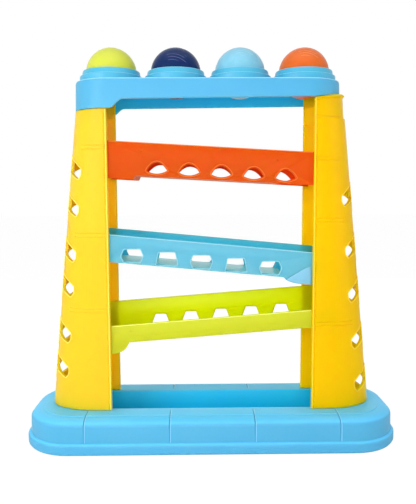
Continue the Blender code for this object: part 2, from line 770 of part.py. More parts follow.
def ramp_channel(ramp, line, over):
    """The hollow above the floor, open at both ends."""
    start = ramp["left"] - CUT_OVERRUN
    stop = ramp["right"] + CUT_OVERRUN
    inner = [(x, z + RAMP_FLOOR) for x, z in line]
    outline = [(start, inner[0][1])] + inner + [(stop, inner[-1][1]), (stop, over), (start, over)]
    rings = across(outline, RAMP_INNER, -RAMP_INNER)
    return loft_group(f"{ramp['name']}_channel", [rings])


def ramp_floor_openings(ramp, under):
    """Where the floor ends short of the walls, so that a ball can drop through."""
    over = ramp["top"]
    tools = []
    for start, stop in ramp["open_floor"]:
        corners = [(start, -RAMP_INNER), (stop, -RAMP_INNER), (stop, RAMP_INNER), (start, RAMP_INNER)]
        tools.append(upright(corners, under, over))
    return loft_group(f"{ramp['name']}_floor_openings", tools)


def ramp_front_trim(ramp):
    """The front wall is lower than the back wall."""
    left = ramp["left"] - CUT_OVERRUN
    right = ramp["right"] + CUT_OVERRUN
    outline = [(x, ramp_top(ramp, x)) for x in (left, right)]
    outline += [(x, ramp_top(ramp, x, ramp["back_rise"] + CUT_OVERRUN)) for x in (right, left)]
    return loft_group(f"{ramp['name']}_front_trim", [across(outline, RAMP_INNER, -RAMP_OUTER - CUT_OVERRUN)])


def ramp_holes(ramp):
    """A row of windows through one or both side walls."""
    tools = []
    for face in ramp["pierced"]:
        for number in range(WINDOW_COUNT):
            x = ramp["hole_start"] + number * ramp["hole_pitch"]
            level = ramp["hole_level"](x)
            outline = [(x + along, level + up) for along, up in ramp["hole_outline"](number, face)]
            outside = face * (RAMP_OUTER + CUT_OVERRUN)
            tools.append(across(outline, outside, face * (RAMP_INNER - WINDOW_NOTCH)))
    return loft_group(f"{ramp['name']}_windows", tools)


def lens_outline(number, face):
    """A pointed window with an arched top and a shallow sill, longer in the rear wall."""
    half = (UPPER_REAR_HOLE_LENGTH if face > 0 else UPPER_HOLE_LENGTH) / 2
    steps = EDGE_STEPS * 4
    shares = [1 - 2 * step / steps for step in range(steps + 1)]
    arch = [(half * share, UPPER_HOLE_ARCH * (1 - share * share)) for share in shares]
    sill = [(half * share, UPPER_HOLE_SAG * (share * share - 1)) for share in shares[::-1]]
    return arch + sill[1:-1]


def middle_outline(number, face):
    """Windows by turns with pointed sides and with slanting sides, longer in the rear wall."""
    half = (MIDDLE_REAR_HOLE_LENGTH if face > 0 else MIDDLE_HOLE_LENGTH) / 2
    top = half * MIDDLE_HOLE_TOP_SHARE
    height = MIDDLE_HOLE_HEIGHT
    if number % 2:
        return [(-half, 0), (half, 0), (top, height), (-top, height)]
    return [(-top, 0), (top, 0), (half, height / 2), (top, height), (-top, height), (-half, height / 2)]


def lower_outline(number, face):
    """A window with slanting sides."""
    half = LOWER_HOLE_LENGTH / 2
    top = half * LOWER_HOLE_TOP_SHARE
    return [(-half, -LOWER_HOLE_HEIGHT), (half, -LOWER_HOLE_HEIGHT), (top, 0), (-top, 0)]


def upper_ramp():
    ramp = {
        "name": "upper_ramp", "top": UPPER_TOP, "depth": UPPER_DEPTH, "angle": UPPER_ANGLE, "back_rise": 0,
        "left": -RAMP_END, "right": RAMP_END,
        "left_radius": RAMP_END_RADIUS, "right_radius": RAMP_END_RADIUS,
        "open_floor": [(-RAMP_END - CUT_OVERRUN, UPPER_FLOOR_START - PILLAR_INNER),
                       (PILLAR_INNER - UPPER_FLOOR_STOP, RAMP_END + CUT_OVERRUN)],
        "pierced": (-1, 1), "hole_start": UPPER_HOLE_START, "hole_pitch": UPPER_HOLE_PITCH,
        "hole_outline": lens_outline,
    }
    ramp["hole_level"] = lambda x: ramp_top(ramp, x) - UPPER_DEPTH + UPPER_HOLE_RISE
    return ramp


def middle_ramp():
    ramp = {
        "name": "middle_ramp", "top": MIDDLE_TOP, "depth": MIDDLE_DEPTH, "angle": MIDDLE_ANGLE,
        "back_rise": MIDDLE_BACK_RISE,
        "left": -PILLAR_INNER - MIDDLE_HIGH_END, "right": RAMP_LOW_END,
        "left_radius": MIDDLE_END_RADIUS, "right_radius": RAMP_END_RADIUS,
        "open_floor": [(PILLAR_INNER - MIDDLE_FLOOR_STOP, RAMP_LOW_END + CUT_OVERRUN)],
        "pierced": (-1, 1), "hole_start": MIDDLE_HOLE_START, "hole_pitch": MIDDLE_HOLE_PITCH,
        "hole_outline": middle_outline,
    }
    ramp["hole_level"] = lambda x: ramp_top(ramp, x) - MIDDLE_DEPTH + MIDDLE_HOLE_RISE
    return ramp


def lower_ramp():
    ramp = {
        "name": "lower_ramp", "top": LOWER_TOP, "depth": LOWER_DEPTH, "angle": LOWER_ANGLE,
        "back_rise": LOWER_BACK_RISE,
        "left": -RAMP_LOW_END, "right": PILLAR_INNER + LOWER_HIGH_END,
        "left_radius": RAMP_END_RADIUS, "right_radius": LOWER_END_RADIUS,
        "open_floor": [(-RAMP_LOW_END - CUT_OVERRUN, LOWER_FLOOR_STOP - PILLAR_INNER)],
        "pierced": (1,), "hole_start": LOWER_HOLE_START, "hole_pitch": LOWER_HOLE_PITCH,
        "hole_outline": lower_outline,
    }
    ramp["hole_level"] = lambda x: ramp_top(ramp, x) - LOWER_HOLE_DROP
    return ramp


def main():
    clear_scene()
    sky = plastic("sky_blue_plastic", (0.12, 0.53, 0.85), 0.3)
    collar = plastic("blue_collar_plastic", (0.10, 0.54, 0.83), 0.35)
    yellow = plastic("yellow_plastic", (0.95, 0.70, 0.04), 0.3)
    amber = plastic("amber_plastic", (0.93, 0.50, 0.001), 0.3)
    orange = plastic("orange_plastic", (0.78, 0.11, 0.009), 0.3)
    teal = plastic("teal_plastic", (0.19, 0.59, 0.75), 0.3)
    lime = plastic("lime_plastic", (0.72, 0.76, 0.03), 0.3)
    steel = plastic("screw_steel", (0.45, 0.45, 0.46), 0.35)
    steel.node_tree.nodes["Principled BSDF"].inputs["Metallic"].default_value = 1
    ball_materials = {
        "ball_lime": plastic("lime_ball_plastic", (0.74, 0.78, 0.11), 0.25),
        "ball_navy": plastic("navy_ball_plastic", (0.021, 0.044, 0.145), 0.25),
        "ball_sky": plastic("sky_ball_plastic", (0.25, 0.64, 0.82), 0.25),
        "ball_orange": plastic("orange_ball_plastic", (0.82, 0.17, 0.04), 0.25),
    }
    ramps = [upper_ramp(), middle_ramp(), lower_ramp()]
    make_base(sky)
    make_pillar(-1, LEFT_SLOT_HEIGHT_SHARES, ramps, yellow)
    make_pillar(1, RIGHT_SLOT_HEIGHT_SHARES, ramps, amber)
    make_deck(sky)
    for ramp, material in zip(ramps, (orange, teal, lime)):
        make_ramp(ramp, material)
    make_balls(ball_materials)
    make_collars(collar)
    make_screws(steel)


main()
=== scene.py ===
from math import acos, atan2, cos, degrees, exp, pi, radians, sin, sqrt, tan

import bmesh
import bpy
from mathutils import Euler, Matrix, Vector


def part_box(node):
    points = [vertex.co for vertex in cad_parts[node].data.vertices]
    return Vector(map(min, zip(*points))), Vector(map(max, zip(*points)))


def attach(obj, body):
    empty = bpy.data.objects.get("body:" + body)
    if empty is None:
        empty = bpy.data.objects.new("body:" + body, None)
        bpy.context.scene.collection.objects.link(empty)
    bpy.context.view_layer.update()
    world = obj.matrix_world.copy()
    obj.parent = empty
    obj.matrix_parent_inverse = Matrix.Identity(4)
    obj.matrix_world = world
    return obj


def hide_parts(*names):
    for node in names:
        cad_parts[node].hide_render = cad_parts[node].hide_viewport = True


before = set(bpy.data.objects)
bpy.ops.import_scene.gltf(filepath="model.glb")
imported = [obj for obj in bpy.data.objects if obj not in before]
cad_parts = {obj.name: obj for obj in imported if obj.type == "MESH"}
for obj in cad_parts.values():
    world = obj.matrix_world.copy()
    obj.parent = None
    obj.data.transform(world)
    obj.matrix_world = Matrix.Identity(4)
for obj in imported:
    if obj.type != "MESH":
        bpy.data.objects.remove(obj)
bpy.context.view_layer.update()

# The look of a moulded pound-and-roll tower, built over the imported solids. Metres, +Z up, front at -Y.

TOWER = "tower"
COLLECTION = bpy.context.scene.collection

# Places read from the parts imported from model.glb
tray_low, tray_high = (Vector(corner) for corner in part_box("base_tray"))
deck_low, deck_high = (Vector(corner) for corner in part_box("top_deck"))
right_low, right_high = (Vector(corner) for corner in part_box("right_pillar"))
BALLS = (("ball_lime", "first_ball", "lime_ball"), ("ball_navy", "second_ball", "navy_ball"),
         ("ball_sky", "third_ball", "sky_ball"), ("ball_orange", "fourth_ball", "orange_ball"))
ball_centres = []
for node, body, slot in BALLS:
    ball_low, ball_high = (Vector(corner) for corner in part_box(node))
    ball_centres.append((ball_low + ball_high) / 2)
BALL_RADIUS = (ball_high.z - ball_low.z) / 2

# Fits and walls
WALL = 0.0025
FIT_GAP = 0.0003
OVERRUN = 0.004
SPACING = 0.0012

# Tray
TRAY_CORNER = 0.045
TRAY_SKIRT_HEIGHT = 0.010
TRAY_SKIRT_STEP = 0.0026
TRAY_FOOT_INSET = 0.0012
TRAY_FOOT_LAND = 0.0024
TRAY_SKIRT_ROUND = 0.0024
TRAY_NOSE_INSET = 0.0032
TRAY_NOSE_DROP = 0.0065
TRAY_CREASE_INSET = 0.015
TRAY_CREASE_STEP = 0.0006
BASIN_SIDE_ROOM = 0.0015
BASIN_END_SETBACK = 0.021
BASIN_FLOOR = 0.005
BASIN_FLOOR_RADIUS = 0.006
BASIN_DRAFT = 0.0012
BASIN_EDGE = 0.0008
PANEL_WIDTH = 0.0757
PANEL_GROOVE = 0.0007
PANEL_EDGE = 0.0003
PANEL_PLACES = [(number * PANEL_WIDTH / 2, face) for number in (-3, -1, 1, 3) for face in (-1, 1)]

# Pillars
PILLAR_FOOT_FLAT = 0.0135
PILLAR_FOOT_ROUND = 0.046
PILLAR_TOP_REACH = 0.0316
PILLAR_HALF_DEPTH = 0.030
PILLAR_FOOT_SPREAD = 0.0005
DECK_SKIRT = 0.0185
NECK_HEIGHT = 0.017
NECK_INSET = 0.0011
NECK_STEP = 0.0005
NECK_LIP_HEIGHT = 0.0025
NECK_LIP_FLARE = 0.0006
TONGUE_RADIUS = 0.0295
LEDGE_HEIGHT = 0.003
LEDGE_WIDTH = 0.003
BOSS_RADIUS = 0.0035
BOSS_HEIGHT = 0.012
BOSS_SINK = 0.0008
BOSS_ANGLES = (-50, -20, 50)
SLOTS = (
    (-29.5, ((-0.0109, 0.0115), (-0.0110, -0.0025), (0.0091, -0.0108), (0.0118, -0.0070), (0.0118, -0.0015),
             (0.0050, 0.0033))),
    (16, ((0.0118, -0.0048), (-0.0077, 0.0008), (-0.0118, -0.0010), (-0.0118, -0.0080), (-0.0083, -0.0125),
          (0.0018, -0.0162), (0.0106, -0.0164), (0.0118, -0.0130))),
)
SLOT_ROUND = 0.0016
SLOT_HEIGHT_SHARES = {-1: (0.791, 0.672, 0.524, 0.410, 0.257, 0.140), 1: (0.701, 0.533, 0.386, 0.230, 0.086)}
SLOT_BEAD = 0.0005
LINE_HEIGHTS = {-1: (0.2705, 0.1925, 0.1240), 1: (0.2600, 0.2050, 0.1105)}
LINE_SPACING = 0.0033
LINE_WIDTH = 0.0009
LINE_DEPTH = 0.00045
LINE_END_MARGIN = 0.012
EDGE_BAND = 0.0028
EDGE_LIP = 0.0005

# Deck and collars
DECK_EDGE = 0.0024
DECK_DRAFT = 0.0006
DECK_CAP_START = 0.0015
DECK_CAP_CURVE = 0.0125
DECK_END_RISE = 0.0020
DECK_BACK_SHIFT = 0.007
DECK_END_LIFT = 0.0045
DECK_LIP = 0.0005
COLLAR_WALL = 0.0017
COLLAR_FLANGE = 0.0037
COLLAR_HEIGHT = 0.010
COLLAR_STEP_HEIGHT = 0.0052
COLLAR_SLEEVE = 0.009
COLLAR_ROUND = 0.0007
COLLAR_UPPER_SHARE = 0.45

# Ramps
RAMP_INNER = 0.025
RAMP_OUTER = 0.027
RAMP_FLOOR = 0.002
RAMP_EDGE = 0.00035
RAMP_LIP = 0.0005
WINDOW_COUNT = 5
WINDOW_NOTCH = 0.0004
WINDOW_ROUND = 0.0009
RAMPS = {
    "upper_ramp": {
        "top": 0.2709, "depth": 0.0295, "angle": -3.35, "back_rise": 0, "slot": "orange_plastic",
        "first_window": -0.0481, "window_pitch": 0.0288, "window_level": 0.0052 - 0.0295, "pierced": (-1, 1),
        "window_halves": {-1: 0.009, 1: 0.01225}, "rim_offset": 0.0012, "rim": 0.0004,
    },
    "middle_ramp": {
        "top": 0.1843, "depth": 0.0250, "angle": -5.35, "back_rise": 0.0024, "slot": "teal_plastic",
        "first_window": -0.0714, "window_pitch": 0.0313, "window_level": 0.0014 - 0.0250, "pierced": (-1, 1),
        "window_halves": {-1: 0.00975, 1: 0.01125}, "rim_offset": 0.0004, "rim": 0.0004,
    },
    "lower_ramp": {
        "top": 0.1160, "depth": 0.0165, "angle": 4.35, "back_rise": 0.014, "slot": "lime_plastic",
        "first_window": -0.0496, "window_pitch": 0.0301, "window_level": -0.0025, "pierced": (1,),
        "window_halves": {1: 0.0094}, "rim_offset": 0.0004, "rim": 0.0004,
    },
}
UPPER_LIP = 0.0036
UPPER_LIP_RUN = 0.0220
UPPER_FLOOR_STOP = 0.030
UPPER_WINDOW_ARCH = 0.0075
UPPER_WINDOW_SAG = 0.0025
MIDDLE_CHUTE_RUN = 0.025
MIDDLE_CHUTE_DROP = 0.0068
MIDDLE_FLOOR_STOP = 0.004
MIDDLE_WINDOW_TOP_SHARE = 0.76
MIDDLE_WINDOW_HEIGHT = 0.0118
LOWER_SCOOP_RUN = 0.0155
LOWER_SCOOP_DROP = 0.0105
LOWER_FLOOR_STOP = 0.0045
LOWER_WINDOW_TOP_SHARE = 0.54
LOWER_WINDOW_HEIGHT = 0.0115
HIGH_END_RADII = {"middle_ramp": 0.014, "lower_ramp": 0.016}
LOW_END_RADIUS = 0.003
CHEEK = ((0.0704, 0.1525), (0.0850, 0.1612), (0.0905, 0.1628))
CHEEK_RISE = 0.0006
CHEEK_MARGIN = 0.003
CHEEK_CROWN = ((0, -1), (0, 0.25), (0.03, 0.8), (0.08, 1))

# Gate marks: where the plastic entered the moulds, on the ramps' front walls
GATES = {"orange_plastic": ((-0.0621, 0.2661), (0.0593, 0.2584)), "lime_plastic": ((-0.0739, 0.1042),)}
GATE_RADIUS = 0.0007
GATE_HEIGHT = 0.0003

# Screws
SCREW_RADIUS = 0.0014
SCREW_STEPS = 24
SCREW_BORE = (SCREW_RADIUS + FIT_GAP, SCREW_STEPS)
SCREW_HEAD_RADIUS = 0.0031
SCREW_HEAD_HEIGHT = 0.0022
SCREW_LENGTH = 0.012
SCREW_THREADS = 12
SCREW_THREAD_DEPTH = 0.0003
SCREW_RECESS = (0.0018, 0.0005, 0.0012)

# Roundness of the meshes
CORNER_STEPS = 20
ARC_STEPS = 48
EDGE_STEPS = 6
TURN_STEPS = 112
BEAD_SIDES = 8
QUARTERS = ((1, 1), (-1, 1), (-1, -1), (1, -1))
SHARP_ANGLE = radians(34)
FLATNESS = 0.0000005

# Places that several pieces share
PILLAR_INNER = right_low.x
PILLAR_FOOT = right_low.z
DECK_TOP = deck_high.z
PILLAR_TOP = DECK_TOP - DECK_SKIRT
RIM_HEIGHT = tray_high.z
RAMP_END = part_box("upper_ramp")[1][0]
ROW_SHIFT = (deck_low.x + deck_high.x) / 2
ROW_HALF = (ball_centres[-1].x - ball_centres[0].x) / 2
DECK_RADIUS = deck_high.y
COLLAR_BORE = BALL_RADIUS + FIT_GAP
COLLAR_LIP = COLLAR_BORE + COLLAR_WALL
COLLAR_OUTER = COLLAR_LIP + COLLAR_FLANGE


# Meshes

def show(name, data):
    """A new object in the scene."""
    thing = bpy.data.objects.new(name, data)
    COLLECTION.objects.link(thing)
    return thing


def new_piece(name, points, faces):
    """A mesh object at the origin, with its faces turned out."""
    mesh = bpy.data.meshes.new(name)
    mesh.from_pydata([tuple(point) for point in points], [], faces)
    shell = bmesh.new()
    shell.from_mesh(mesh)
    bmesh.ops.recalc_face_normals(shell, faces=shell.faces)
    twisted = [face for face in shell.faces if len(face.verts) > 3 and is_twisted(face)]
    bmesh.ops.triangulate(shell, faces=twisted)
    shell.to_mesh(mesh)
    shell.free()
    return show(name, mesh)


def is_twisted(face):
    first = face.verts[0].co
    return any(abs((corner.co - first).dot(face.normal)) > FLATNESS for corner in face.verts)


def loft(name, *ring_lists, closed=False):
    """One or several shapes from rings of points, each with end faces or closed on itself."""
    points = []
    faces = []
    for rings in ring_lists:
        size = len(rings[0])
        starts = [len(points) + size * number for number in range(len(rings))]
        for here, beyond in zip(starts, starts[1:] + (starts[:1] if closed else [])):
            for index in range(size):
                after = (index + 1) % size
                faces.append((here + index, here + after, beyond + after, beyond + index))
        if not closed:
            faces += [tuple(range(start, start + size)) for start in (starts[0], starts[-1])]
        points += [point for ring in rings for point in ring]
    return new_piece(name, points, faces)


def settle(piece):
    """Work a piece's modifiers into its mesh."""
    graph = bpy.context.evaluated_depsgraph_get()
    mesh = bpy.data.meshes.new_from_object(piece.evaluated_get(graph))
    piece.modifiers.clear()
    piece.data = mesh
    return piece


def work(piece, kind, **values):
    """Work one modifier into a piece's mesh."""
    modifier = piece.modifiers.new(kind.lower(), kind)
    for label, value in values.items():
        setattr(modifier, label, value)
    settle(piece)


def carve(piece, *ring_lists, operation="DIFFERENCE"):
    """Cut closed shapes out of a piece, or join them to it."""
    tool = loft("tool", *ring_lists)
    work(piece, "BOOLEAN", operation=operation, solver="EXACT", object=tool)
    bpy.data.objects.remove(tool, do_unlink=True)


def finish_piece(piece, slot, *nodes, body=TOWER, finishes=None):
    piece.data.materials.clear()
    piece.data.materials.append((finishes or PLASTICS)[slot])
    piece.data.shade_smooth()
    piece.data.set_sharp_from_angle(angle=SHARP_ANGLE)
    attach(piece, body)
    if nodes:
        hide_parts(*nodes)


# Outlines

def arc(centre, radii, start, stop, steps):
    """Points of a circle, or of an ellipse where there are two radii."""
    wide, deep = radii if isinstance(radii, tuple) else (radii, radii)
    turns = [radians(start + (stop - start) * step / steps) for step in range(steps + 1)]
    return [(centre[0] + wide * cos(turn), centre[1] + deep * sin(turn)) for turn in turns]


def disc(centre, radius, steps):
    return arc(centre, radius, 0, 360, steps)[:-1]


def rounded_plan(half_length, half_depth, radius):
    points = []
    for quarter, (side, face) in enumerate(QUARTERS):
        centre = (side * (half_length - radius), face * (half_depth - radius))
        points += arc(centre, radius, 90 * quarter, 90 * quarter + 90, CORNER_STEPS)
    return points


def stadium_plan(half_length, radius, shift=0):
    half_step = 90 / (2 * CORNER_STEPS + 1)
    points = []
    for quarter, side in enumerate((1, -1, -1, 1)):
        start = 90 * quarter + (0 if quarter % 2 else half_step)
        stop = 90 * quarter + 90 - (half_step if quarter % 2 else 0)
        points += arc((shift + side * (half_length - radius), 0), radius, start, stop, CORNER_STEPS)
    return points


def neighbours(outline):
    """Each point of a closed outline, with the ones before and after it."""
    spots = [Vector(point) for point in outline]
    return list(zip(spots[-1:] + spots[:-1], spots, spots[1:] + spots[:1]))


def rounded_outline(corners, radius, steps):
    points = []
    for before, here, after in neighbours(corners):
        start = here + (before - here).normalized() * radius
        stop = here + (after - here).normalized() * radius
        for share in (step / steps for step in range(steps + 1)):
            spot = start * (1 - share) ** 2 + here * 2 * share * (1 - share) + stop * share ** 2
            points.append(tuple(spot))
    return points


def spaced(outline):
    """A closed outline with points added, so that it can follow a curved face."""
    points = []
    for before, here, after in neighbours(outline):
        steps = max(1, int((after - here).length / SPACING))
        points += [tuple(here.lerp(after, step / steps)) for step in range(steps)]
    return points


def grown(outline, distance):
    """A closed outline moved outwards."""
    rows = neighbours(outline)
    area = sum(before.x * here.y - here.x * before.y for before, here, after in rows)
    reach = distance if area > 0 else -distance
    return [tuple(here + Vector((after.y - before.y, before.x - after.x)).normalized() * reach)
            for before, here, after in rows]


def across(outline, back, front):
    return [[(x, y, z) for x, z in outline] for y in (back, front)]


def at_height(plan, height):
    return [(x, y, height) for x, y in plan]


def upright(plan, low, high):
    return [at_height(plan, low), at_height(plan, high)]


def posts(places, radius, steps, low, high):
    return [upright(disc(spot, radius, steps), low, high) for spot in places]


def oblong(left, right, depth):
    """A plan between two places along X, so deep to both sides."""
    return [(left, -depth), (right, -depth), (right, depth), (left, depth)]


def clamped(share):
    return min(1, max(0, share))


# Shader groups for all plastics

ORIGIN = (0, 0, 0)
WHITE = (1, 1, 1, 1)


def srgb(red, green, blue):
    """Linear colour from the 0 to 255 values that a screen shows."""
    channels = []
    for value in (red, green, blue):
        share = value / 255
        channels.append(share / 12.92 if share <= 0.04045 else ((share + 0.055) / 1.055) ** 2.4)
    return (*channels, 1)


def socket_of(value):
    """A node stands for its first output."""
    return value.outputs[0] if isinstance(value, bpy.types.Node) else value


def fill(tree, node, inputs):
    """Set a node's inputs to values, or join them to sockets or other nodes."""
    for key, value in inputs.items():
        source = socket_of(value)
        if isinstance(source, bpy.types.NodeSocket):
            tree.links.new(source, node.inputs[key])
        else:
            node.inputs[key].default_value = value
    return node


def add_node(tree, kind, inputs=None, **settings):
    node = tree.nodes.new(kind)
    for label, value in settings.items():
        setattr(node, label, value)
    return fill(tree, node, inputs or {})


def new_group(build, **inputs):
    """A shader group with a place and other inputs by value. `build` gives its name and its outputs."""
    inputs = {"Vector": ORIGIN, **inputs}
    group = bpy.data.node_groups.new(build.__name__, "ShaderNodeTree")
    for label, value in inputs.items():
        kind = "Float" if isinstance(value, (int, float)) else "Vector" if len(value) == 3 else "Color"
        socket = group.interface.new_socket(label, in_out="INPUT", socket_type=f"NodeSocket{kind}")
        socket.default_value = value
    given = group.nodes.new("NodeGroupInput").outputs
    results = build(group, *[given[label] for label in inputs])
    for label, result in results.items():
        kind = "Color" if socket_of(result).type == "RGBA" else "Float"
        group.interface.new_socket(label, in_out="OUTPUT", socket_type=f"NodeSocket{kind}")
    add_node(group, "NodeGroupOutput", results)
    return group


def add_group(tree, group, spot, **inputs):
    return add_node(tree, "ShaderNodeGroup", {"Vector": spot, **inputs}, node_tree=group).outputs


def noise(tree, coordinates, scale, detail, roughness=0.5):
    inputs = {"Vector": coordinates, "Scale": scale, "Detail": detail, "Roughness": roughness}
    return add_node(tree, "ShaderNodeTexNoise", inputs)


def math(tree, operation, first, second=0.0):
    return add_node(tree, "ShaderNodeMath", {0: first, 1: second}, operation=operation)


def product(tree, first, *others):
    for other in others:
        first = math(tree, "MULTIPLY", first, other)
    return first


def parts_of(tree, vector):
    return add_node(tree, "ShaderNodeSeparateXYZ", {"Vector": vector}).outputs


def difference(tree, first, second):
    return add_node(tree, "ShaderNodeVectorMath", {0: first, 1: second}, operation="SUBTRACT")


def map_range(tree, value, low, high, to_low=0.0, to_high=1.0):
    return add_node(tree, "ShaderNodeMapRange", {
        "Value": value, "From Min": low, "From Max": high, "To Min": to_low, "To Max": to_high})


def colour_mix(tree, share, first, second):
    inputs = {"Factor": share, 6: first, 7: second}
    return add_node(tree, "ShaderNodeMix", inputs, data_type="RGBA").outputs[2]


def moulding_relief(group, spot, pebble, waviness):
    """Fine pebbling from the mould and the broad sinks that thin walls show."""
    grain = product(group, noise(group, spot, 1400, 2.0), pebble)
    waves = product(group, noise(group, spot, 38, 1.0), waviness)
    return {"Height": math(group, "ADD", grain, waves)}


def plastic_tint(group, spot, colour, deep, clouding):
    """Slight clouding of the colour where the plastic flowed."""
    clouds = map_range(group, noise(group, spot, 17, 4.0, 0.55), 0.35, 0.65)
    specks = map_range(group, noise(group, spot, 260, 2.0), 0.3, 0.7, -0.2, 0.2)
    share = product(group, math(group, "ADD", clouds, specks), clouding)
    return {"Colour": colour_mix(group, share, colour, deep)}


def handling_marks(group, spot, base, spread):
    """Roughness that varies with rubbing, with hairline scuffs."""
    stretch = add_node(group, "ShaderNodeMapping", {
        "Vector": spot, "Rotation": (0.5, 0.9, 0.3), "Scale": (60, 900, 900)})
    hairs = map_range(group, noise(group, stretch, 1.0, 2.0, 0.6), 0.66, 0.74)
    patches = noise(group, spot, 30, 3.0, 0.6)
    scuffs = product(group, hairs, map_range(group, patches, 0.5, 0.7))
    rubbed = math(group, "ADD", map_range(group, patches, 0.3, 0.7, -1, 1), scuffs)
    return {"Roughness": math(group, "ADD", base, product(group, rubbed, spread))}


def painted_hollow_light(group, spot, normal, axis, roundness):
    """A mask for the faces that look into a hollow part, about an upright axis, where a painted tone stands
    in for shade and for light bounced and glowing through the thin walls.
    """
    spoke = parts_of(group, difference(group, spot, axis))
    facing = parts_of(group, normal)
    along = product(group, spoke["X"], facing["X"], roundness)
    through = product(group, spoke["Y"], facing["Y"])
    return {"Mask": map_range(group, math(group, "ADD", along, through), 0, -0.006)}


def painted_groove_glint(group, spot, spacing, width):
    """Thin curved lines on one side of a ball, as a mask for a painted highlight along them and a height for
    shallow grooves.
    """
    parts = parts_of(group, spot)
    bend = product(group, parts["X"], parts["X"], 22.0)
    level = math(group, "DIVIDE", math(group, "ADD", parts["Z"], bend), spacing)
    level = math(group, "FRACT", math(group, "ADD", level, 0.5))
    off = math(group, "ABSOLUTE", math(group, "SUBTRACT", level, 0.5))
    line = map_range(group, off, width, 0.0)
    reach = map_range(group, math(group, "ABSOLUTE", parts["Z"]), 0.0042, 0.0030)
    sway = map_range(group, noise(group, spot, 190, 1.0), 0.3, 0.7, -0.008, 0.0)
    swayed = math(group, "ABSOLUTE", math(group, "ADD", parts["X"], sway))
    length = map_range(group, swayed, 0.0080, 0.0055)
    front = map_range(group, parts["Y"], 0.0, -0.004)
    mask = product(group, line, reach, length, front)
    return {"Mask": mask, "Height": product(group, mask, -1.0)}


RELIEF = new_group(moulding_relief, Pebble=0.25, Waviness=0.6)
TINT = new_group(plastic_tint, Colour=WHITE, Deep=WHITE, Clouding=0.3)
MARKS = new_group(handling_marks, Base=0.3, Spread=0.1)
PAINTED_HOLLOW_LIGHT = new_group(painted_hollow_light, Normal=ORIGIN, Axis=ORIGIN, Round=1.0)
PAINTED_GROOVE_GLINT = new_group(painted_groove_glint, Spacing=0.0032, Width=0.14)


def new_material(name):
    material = bpy.data.materials.new(name)
    material.use_nodes = True
    return material, material.node_tree


def moulded_plastic(name, colour, deep, inside=None, floor=None, axis=ORIGIN, roundness=1, roughness=0.34,
                    clouding=0.35, pebble=0.2, shine=0.22, glow=0.9, glow_colour=(1, 0.6, 0.3),
                    ball_glints=None):
    """A moulded plastic. `inside` is a painted tone for hollows, standing in for shade and for light bounced
    and glowing through the walls there, `floor` a painted lighter tone on faces that look up, standing in
    for light from above, and the last argument a ball's centre, turn and the colour of a painted highlight
    along its grooves."""
    material, tree = new_material(name)
    texture = add_node(tree, "ShaderNodeTexCoord").outputs
    spot, normal = texture["Object"], texture["Normal"]
    marks = add_group(tree, MARKS, spot, Base=roughness, Spread=0.05)
    height = add_group(tree, RELIEF, spot, Pebble=pebble, Waviness=0.7)["Height"]
    shade = add_group(tree, TINT, spot, Colour=srgb(*colour), Deep=srgb(*deep), Clouding=clouding)["Colour"]
    # Painted light: hollows take a deeper, brighter tone in place of their shade and bounced light.
    if inside:
        hollow = add_group(tree, PAINTED_HOLLOW_LIGHT, spot, Normal=normal, Axis=axis, Round=roundness)
        shade = colour_mix(tree, hollow["Mask"], shade, srgb(*inside))
    # Painted light: faces that look up take a lighter tone, as if lit from above.
    if floor:
        painted_top_light = map_range(tree, parts_of(tree, normal)["Z"], 0.5, 0.8)
        shade = colour_mix(tree, painted_top_light, shade, srgb(*floor))
    # Painted highlight: lighter lines along shallow grooves, on one side of the ball.
    if ball_glints:
        centre, turn, glint_colour = ball_glints
        away = difference(tree, spot, centre)
        rotate = add_node(tree, "ShaderNodeMapping", {"Vector": away, "Rotation": turn})
        glint_mask_node = add_group(tree, PAINTED_GROOVE_GLINT, rotate)
        shade = colour_mix(tree, glint_mask_node["Mask"], shade, srgb(*glint_colour))
        height = math(tree, "ADD", height, glint_mask_node["Height"])
    bump = add_node(tree, "ShaderNodeBump", {"Strength": 0.25, "Distance": 0.0006, "Height": height})
    fill(tree, tree.nodes["Principled BSDF"], {
        "Base Color": shade, "Roughness": marks["Roughness"], "Normal": bump, "IOR": 1.49,
        "Specular IOR Level": shine, "Subsurface Weight": glow, "Subsurface Radius": glow_colour,
        "Subsurface Scale": 0.008})
    return material


def screw_metal():
    material, tree = new_material("plated_screw")
    spot = add_node(tree, "ShaderNodeTexCoord").outputs["Object"]
    tones = {"Colour": srgb(196, 198, 202), "Deep": srgb(160, 161, 165)}
    fill(tree, tree.nodes["Principled BSDF"], {
        "Base Color": add_group(tree, TINT, spot, **tones, Clouding=0.6)["Colour"],
        "Roughness": add_group(tree, MARKS, spot, Base=0.32, Spread=0.12)["Roughness"], "Metallic": 1})
    return material


PILLAR_AXIS = PILLAR_INNER + PILLAR_FOOT_FLAT
